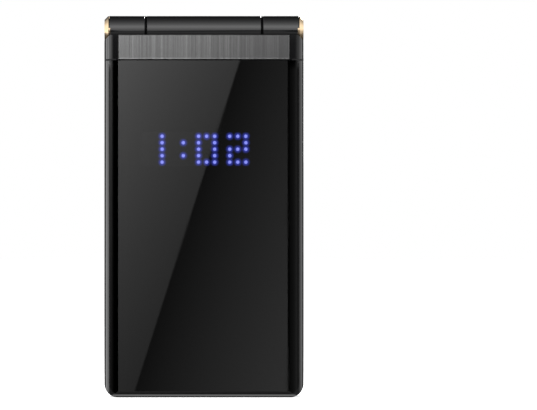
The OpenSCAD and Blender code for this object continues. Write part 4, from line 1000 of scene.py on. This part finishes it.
# The dome stands for the studio's cards and flags. Only gloss sees it, and it is fixed round the phone.
dome = {
    "radius": 0.7,
    "brightest": 3.2,
    # level by direction round the phone at its own height: 0 is in front, right is positive
    "around": [(-180, 0.1), (-140, 0.08), (-126, 0.22), (-118, 2.6), (-112, 3.2), (-99, 2.6), (-92, 2.85),
               (-87, 2.6), (-82, 0.65), (-74, 0.5), (-68, 0.39), (-58, 0.41), (-49, 0.15), (-40, 0.02),
               (-33, 0.0), (-3, 0.0), (9, 0.07), (22, 0.1), (40, 0.17), (57, 0.31), (68, 0.18),
               (79, 0.26), (86, 0.7), (91, 1.05), (102, 1.4), (113, 1.65), (119, 1.1), (125, 0.3),
               (149, 0.06), (180, 0.1)],
    # the left side card brightens with height, between these directions
    "sideFadeIn": (-75, -69),
    "sideFadeOut": (-40, -52),
    "sideRise": 15.0,
    "sideMost": 5.0,
    # the same, times this beside the metal strip
    "besideStrip": [(-88, 1.0), (-84, 3.5), (-76, 4.0), (-68, 1.8), (-58, 1.2), (-49, 1.0), (-20, 1.0),
                    (3, 0.15), (44, 0.2), (53, 0.7), (58, 0.9), (66, 3.2), (80, 2.7), (90, 1.15),
                    (180, 1.0)],
    "stripMost": 4.0,
    "stripBlend": (0.0545, 0.0585),
    # level by height over the lid's face: 0 is level, 90 overhead, 180 behind
    "over": [(0, 1.55), (6, 2.0), (14, 2.44), (22, 3.15), (31, 3.2), (39, 2.38), (47, 1.8), (56, 1.36),
             (65, 0.95), (73, 0.69), (83, 0.42), (94, 0.23), (106, 0.13), (120, 0.02), (162, 0.02),
             (166, 2.0), (172, 2.0), (180, 0.3)],
    # level up there beside the phone, by direction round it, left and right alike
    "beside": [(0, 1.0), (60, 1.2), (80, 2.2), (92, 2.45), (97, 2.28), (102, 1.88), (106, 1.5), (118, 0.95),
               (130, 0.8), (138, 0.5), (146, 0.2), (160, 0.05)],
    # level under the phone's foot: 0 is in front, 90 straight down, 180 behind
    "under": [(0, 0.3), (8, 0.35), (16, 0.46), (26, 0.3), (36, 0.2), (48, 0.25), (64, 0.8), (76, 2.4),
              (90, 2.9), (102, 1.2), (112, 0.2), (128, 0.1), (180, 0.05)],
    "underStart": -0.083,
    "underBlend": (-0.079, -0.087),
    "overStart": 0.0725,        # height of the level line of the upper part, over the phone's middle
    "overBlend": (0.0715, 0.0755),
    "besideBlend": (0.06, 0.16),
    # the tall card behind the camera: a slanted edge, brighter up and to the left of it
    "edgeOffset": -0.00428,
    "edgeSlope": 0.318,
    "edgeBlend": 0.0005,
    "cardLevel": 0.5,
    "cardAcross": -16.7,
    "cardUp": 9.93,
    "cardMiddle": 0.176,
    "darkLevel": 0.125,
    "darkRise": 8.68,
    "cardLeft": -0.0365,
    "cardRight": 0.0341,
    # the card behind the phone: a slanted edge too, bright on the +X side of it
    "rearLevel": 0.85,
    "rearEdge": -0.0071,
    "rearSlope": -0.31,
    "rearBlend": 0.0006,
    "rearSides": (0.3, 0.15),
    "rearHeights": (-0.14, 0.06),
}


def directionRamp(tree, share, name, most, start, sweep):
    # a ramp of the dome's levels over directions in degrees, which its factor holds as a share
    stops = [((angle - start) / sweep, level / most) for angle, level in dome[name]]
    return maths(tree, "MULTIPLY", ramp(tree, share, stops), most)


def domeMaterial():
    material, tree = emptyMaterial("studioDome")
    x, y, z = objectAxes(tree)
    towards = maths(tree, "MULTIPLY", y, -1.0)
    top = dome["brightest"]
    turn = maths(tree, "ARCTAN2", x, towards)
    share = maths(tree, "MULTIPLY_ADD", turn, 0.5 / math.pi, 0.5)
    around = directionRamp(tree, share, "around", top, -180, 360)
    fades = [smoothStep(tree, share, *((angle + 180) / 360 for angle in dome[name]))
             for name in ("sideFadeIn", "sideFadeOut")]
    leftSide = maths(tree, "MULTIPLY", *fades)
    lift = maths(tree, "EXPONENT", maths(tree, "MULTIPLY", z, dome["sideRise"]))
    lift = maths(tree, "MINIMUM", lift, dome["sideMost"])
    around = maths(tree, "MULTIPLY", around, blendValue(tree, leftSide, 1.0, lift))
    strip = directionRamp(tree, share, "besideStrip", dome["stripMost"], -180, 360)
    atStrip = smoothStep(tree, z, *dome["stripBlend"])
    around = maths(tree, "MULTIPLY", around, blendValue(tree, atStrip, 1.0, strip))
    rise = maths(tree, "ARCTAN2", maths(tree, "SUBTRACT", z, dome["overStart"]), towards)
    rise = maths(tree, "DIVIDE", rise, math.pi)
    over = directionRamp(tree, rise, "over", top, 0, 180)
    wide = smoothStep(tree, maths(tree, "ABSOLUTE", x), *dome["besideBlend"])
    eitherWay = maths(tree, "DIVIDE", maths(tree, "ABSOLUTE", turn), math.pi)
    beside = directionRamp(tree, eitherWay, "beside", top, 0, 180)
    over = blendValue(tree, wide, over, beside)
    edge = maths(tree, "MULTIPLY_ADD", z, dome["edgeSlope"], dome["edgeOffset"])
    beyond = maths(tree, "SUBTRACT", x, edge)
    power = maths(tree, "MULTIPLY_ADD", z, dome["cardUp"], dome["cardMiddle"])
    power = maths(tree, "MULTIPLY_ADD", x, dome["cardAcross"], power)
    bright = maths(tree, "MULTIPLY", maths(tree, "EXPONENT", power), dome["cardLevel"])
    dark = maths(tree, "MULTIPLY_ADD", beyond, dome["darkRise"], dome["darkLevel"])
    card = blendValue(tree, smoothStep(tree, beyond, -dome["edgeBlend"], dome["edgeBlend"]), bright, dark)
    inCard = maths(tree, "MULTIPLY", maths(tree, "GREATER_THAN", x, dome["cardLeft"]),
                   maths(tree, "LESS_THAN", x, dome["cardRight"]))
    inCard = maths(tree, "MULTIPLY", inCard, maths(tree, "GREATER_THAN", towards, 0.0))
    level = blendValue(tree, inCard, around, card)
    rearEdge = maths(tree, "MULTIPLY_ADD", z, dome["rearSlope"], dome["rearEdge"])
    beyond = maths(tree, "SUBTRACT", x, rearEdge)
    litRear = smoothStep(tree, beyond, -dome["rearBlend"], dome["rearBlend"])
    litRear = maths(tree, "MULTIPLY", litRear, smoothStep(tree, x, *dome["rearSides"]))
    litRear = maths(tree, "MULTIPLY", litRear, smoothStep(tree, z, *dome["rearHeights"]))
    litRear = maths(tree, "MULTIPLY", litRear, maths(tree, "LESS_THAN", towards, 0.0))
    level = blendValue(tree, litRear, level, dome["rearLevel"])
    above = smoothStep(tree, z, *dome["overBlend"])
    level = blendValue(tree, above, level, over)
    fall = maths(tree, "ARCTAN2", maths(tree, "SUBTRACT", dome["underStart"], z), towards)
    fall = maths(tree, "DIVIDE", fall, math.pi)
    under = directionRamp(tree, fall, "under", top, 0, 180)
    below = smoothStep(tree, z, *dome["underBlend"])
    level = blendValue(tree, below, level, under)
    level = maths(tree, "MAXIMUM", level, 0.0)
    glow = addNode(tree, "ShaderNodeEmission", inputs={"Strength": level})
    addNode(tree, "ShaderNodeOutputMaterial", inputs={"Surface": glow.outputs[0]})
    return material


def onlyGlossSees(piece):
    piece.visible_camera = False
    piece.visible_diffuse = False
    piece.visible_shadow = False
    piece.visible_transmission = True
    piece.visible_volume_scatter = False


def makeDome():
    mesh = bpy.data.meshes.new("dome")
    shell = bmesh.new()
    bmesh.ops.create_uvsphere(shell, u_segments=96, v_segments=48, radius=dome["radius"])
    shell.to_mesh(mesh)
    shell.free()
    piece = stagePiece("dome", mesh, domeMaterial())
    piece.location = (0, 0, middle.z)
    onlyGlossSees(piece)


makeDome()


# lamps for the matt surfaces; gloss sees the dome in their place
lamps = {
    "keyLamp": {"place": (-0.45, -0.75, 0.75), "size": 0.5, "power": 7.0, "gloss": False},
    "fillLamp": {"place": (0.6, -0.5, 0.45), "size": 0.5, "power": 2.5, "gloss": False},
    "rearLamp": {"place": (0.06, 0.4, 0.11), "size": 0.08, "power": 0.06, "gloss": True},
    "rakeLamp": {"place": (0.055, 0.11, 0.165), "size": 0.035, "power": 0.24, "gloss": True},
}
for name, lamp in lamps.items():
    light = bpy.data.lights.new(name, "AREA")
    light.size = lamp["size"]
    light.energy = lamp["power"]
    holder = bpy.data.objects.new(name, light)
    bpy.context.scene.collection.objects.link(holder)
    holder.location = lamp["place"]
    holder.rotation_euler = (middle - Vector(lamp["place"])).to_track_quat("-Z", "Y").to_euler()
    holder.visible_camera = False
    holder.visible_glossy = lamp["gloss"]

bpy.context.scene.view_settings.view_transform = "Standard"
print("stage and lights made")
